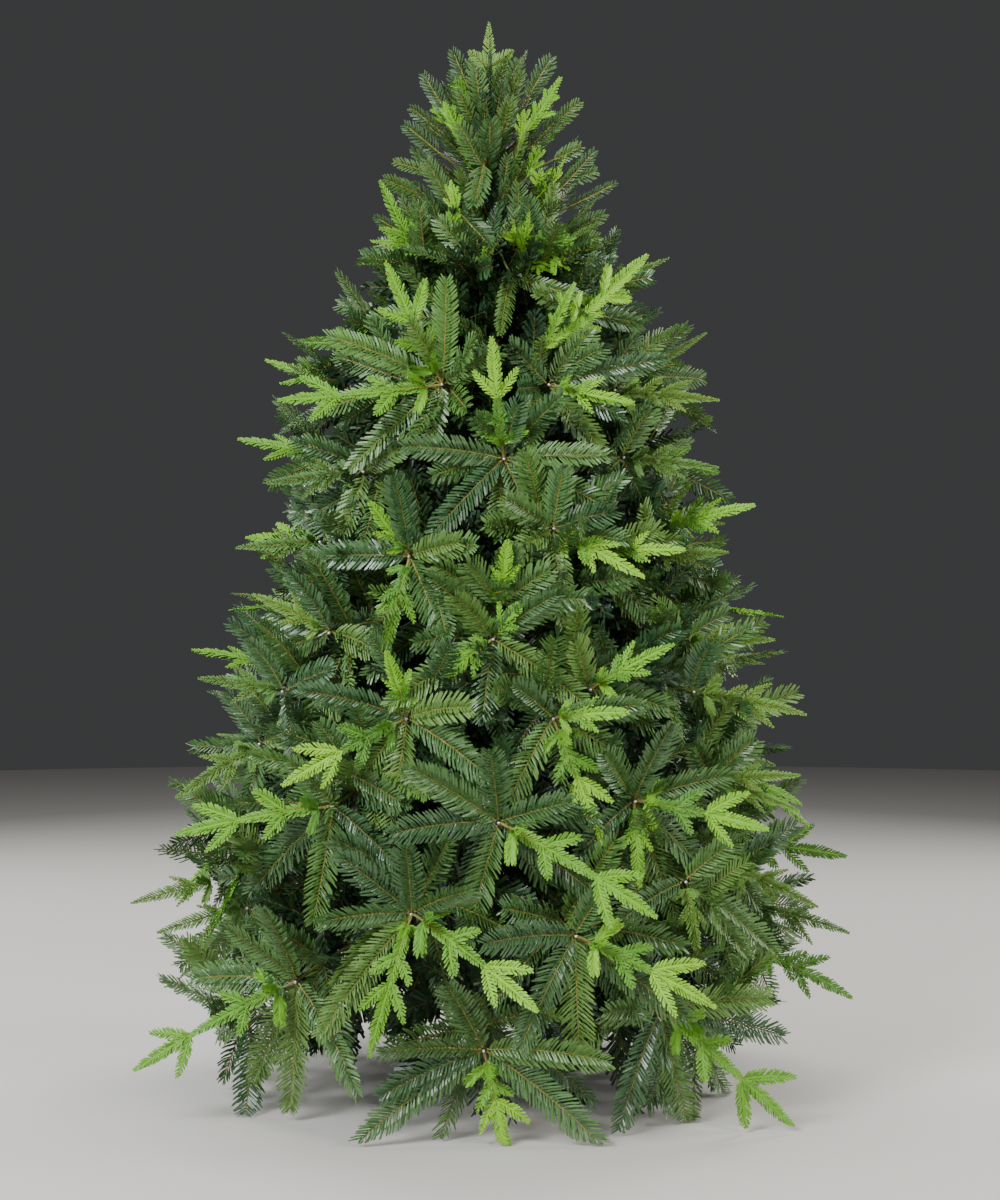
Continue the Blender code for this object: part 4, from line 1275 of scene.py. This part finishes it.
# %% Thumb screws
zinc = weathered(
    finish_of("zinc_plated_steel", "#B8BABC", Metallic=1.0, Roughness=0.35),
    scale=200.0, colours=("#A9ABAD", "#C6C7C6"), rough=(0.28, 0.45), bump=1500.0, depth=0.0001,
)
SCREW_HEIGHT, SCREW_START, SCREW_SIDES = 0.222, 0.0163, 24
THREAD_PITCH, THREAD_DEPTH = 0.0018, 0.00022
SHANK_RADIUS, SHANK_LENGTH, SHANK_RINGS = 0.0027, 0.0298, 134
LOBES, LOBE_DEPTH, LOBED_FROM = 8, 0.035, 0.009
KNOB = (
    (0.0300, 0.0060), (0.0306, 0.0100), (0.0315, 0.0110),
    (0.0365, 0.0110), (0.0382, 0.0103), (0.0390, 0.0080),
)
v = np.arange(SCREW_SIDES) * 2 * np.pi / SCREW_SIDES
x = np.linspace(0.0, SHANK_LENGTH, SHANK_RINGS)
shank = SHANK_RADIUS + THREAD_DEPTH * np.cos(v[None] - 2 * np.pi * x[:, None] / THREAD_PITCH)
knob_x, knob_r = np.array(KNOB).T
lobed = knob_r[:, None] > LOBED_FROM
lobes = knob_r[:, None] * (1.0 - LOBE_DEPTH * (1 - np.cos(LOBES * v[None])) * lobed)
far, radius = np.concatenate([x, knob_x]), np.concatenate([shank, lobes])
parts = []
SCREW_TURNS = (20.0, 200.0)
for turn in SCREW_TURNS:
    ahead, left = level(turn), level(turn + 90.0)
    ring = left * (radius * np.cos(v))[..., None] + UP * (radius * np.sin(v))[..., None]
    parts.append(skin(ahead * (SCREW_START + far)[:, None, None] + ring + UP * SCREW_HEIGHT))
screws = mesh_piece("thumb_screws", "screw_steel", *stacked(parts), [zinc], smooth=True)
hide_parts("stand_screw_1", "stand_screw_2")

# %% [markdown]
# ## What the new pieces replace
# Each node of the frame that is hidden keeps its place in the physics model.

# %% Replaced nodes
tiers = sorted(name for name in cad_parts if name.startswith("foliage"))
bare = sorted(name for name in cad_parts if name.startswith("bough"))
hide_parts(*tiers)
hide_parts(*bare)
print(f"{len(tiers)} foliage masses and {len(bare)} bare boughs replaced")

# %% [markdown]
# ## The studio
# A round pale floor, a large key lamp to the left of the camera, a weaker fill
# to its right, and lamps at the sides, above and behind, so that the tree can
# be looked at from all round. The camera looks level, from a little under half
# the tree's height.

# %% Floor
FLOOR_RADIUS, FLOOR_SIDES = 9.0, 96
floor_rim = FLOOR_RADIUS * level(np.arange(FLOOR_SIDES) * 360.0 / FLOOR_SIDES)
floor_mesh = bpy.data.meshes.new("floor")
floor_mesh.from_pydata(floor_rim.tolist(), [], [tuple(range(FLOOR_SIDES))])
floor = bpy.data.objects.new("floor", floor_mesh)
floor_mesh.materials.append(finish_of("pale_floor", "#C0BDB7", Roughness=0.8))
bpy.context.scene.collection.objects.link(floor)

# %% Light
SKY_STRENGTH = 0.06
world = bpy.data.worlds.new("studio")
bpy.context.scene.world = world
world.use_nodes = True
sky = world.node_tree.nodes["Background"]
sky.inputs["Color"].default_value = linear("#E6E8EA")
sky.inputs["Strength"].default_value = SKY_STRENGTH

# Round area lamps: place, height of the point on the pole that they face, size, watts and colour.
LAMPS = (
    ("key", (-2.4, -3.8, 3.3), 1.0, 2.2, 385, "#F6F9FF"),
    ("fill", (2.8, -3.4, 2.6), 1.0, 1.8, 118, "#FFFAF0"),
    ("top", (0.0, 1.2, 4.2), 1.2, 2.5, 90, "#FFFFFF"),
    ("left", (-4.2, -0.2, 1.8), 1.0, 1.8, 60, "#FFFFFF"),
    ("right", (4.2, -0.2, 1.8), 1.0, 1.8, 110, "#FFFFFF"),
    ("back_left", (-3.0, 3.6, 2.8), 1.0, 2.0, 130, "#FFFFFF"),
    ("back_right", (3.0, 3.6, 2.8), 1.0, 2.0, 130, "#FFFFFF"),
)
for name, place, aim, size, watts, code in LAMPS:
    lamp = bpy.data.lights.new(name, "AREA")
    lamp.shape = "DISK"
    lamp.size = size
    lamp.energy = watts
    lamp.color = linear(code)[:3]
    made = bpy.data.objects.new(name, lamp)
    made.location = place
    made.rotation_euler = (Vector((0, 0, aim)) - Vector(place)).to_track_quat("-Z", "Y").to_euler()
    bpy.context.scene.collection.objects.link(made)

# %% Camera
lens = bpy.data.cameras.new("camera")
lens.lens, lens.sensor_width = 70.0, 36.0
camera = bpy.data.objects.new("camera", lens)
camera.location = CAMERA_PLACE
camera.rotation_euler = (math.radians(90), 0, 0)
bpy.context.scene.collection.objects.link(camera)
bpy.context.scene.camera = camera
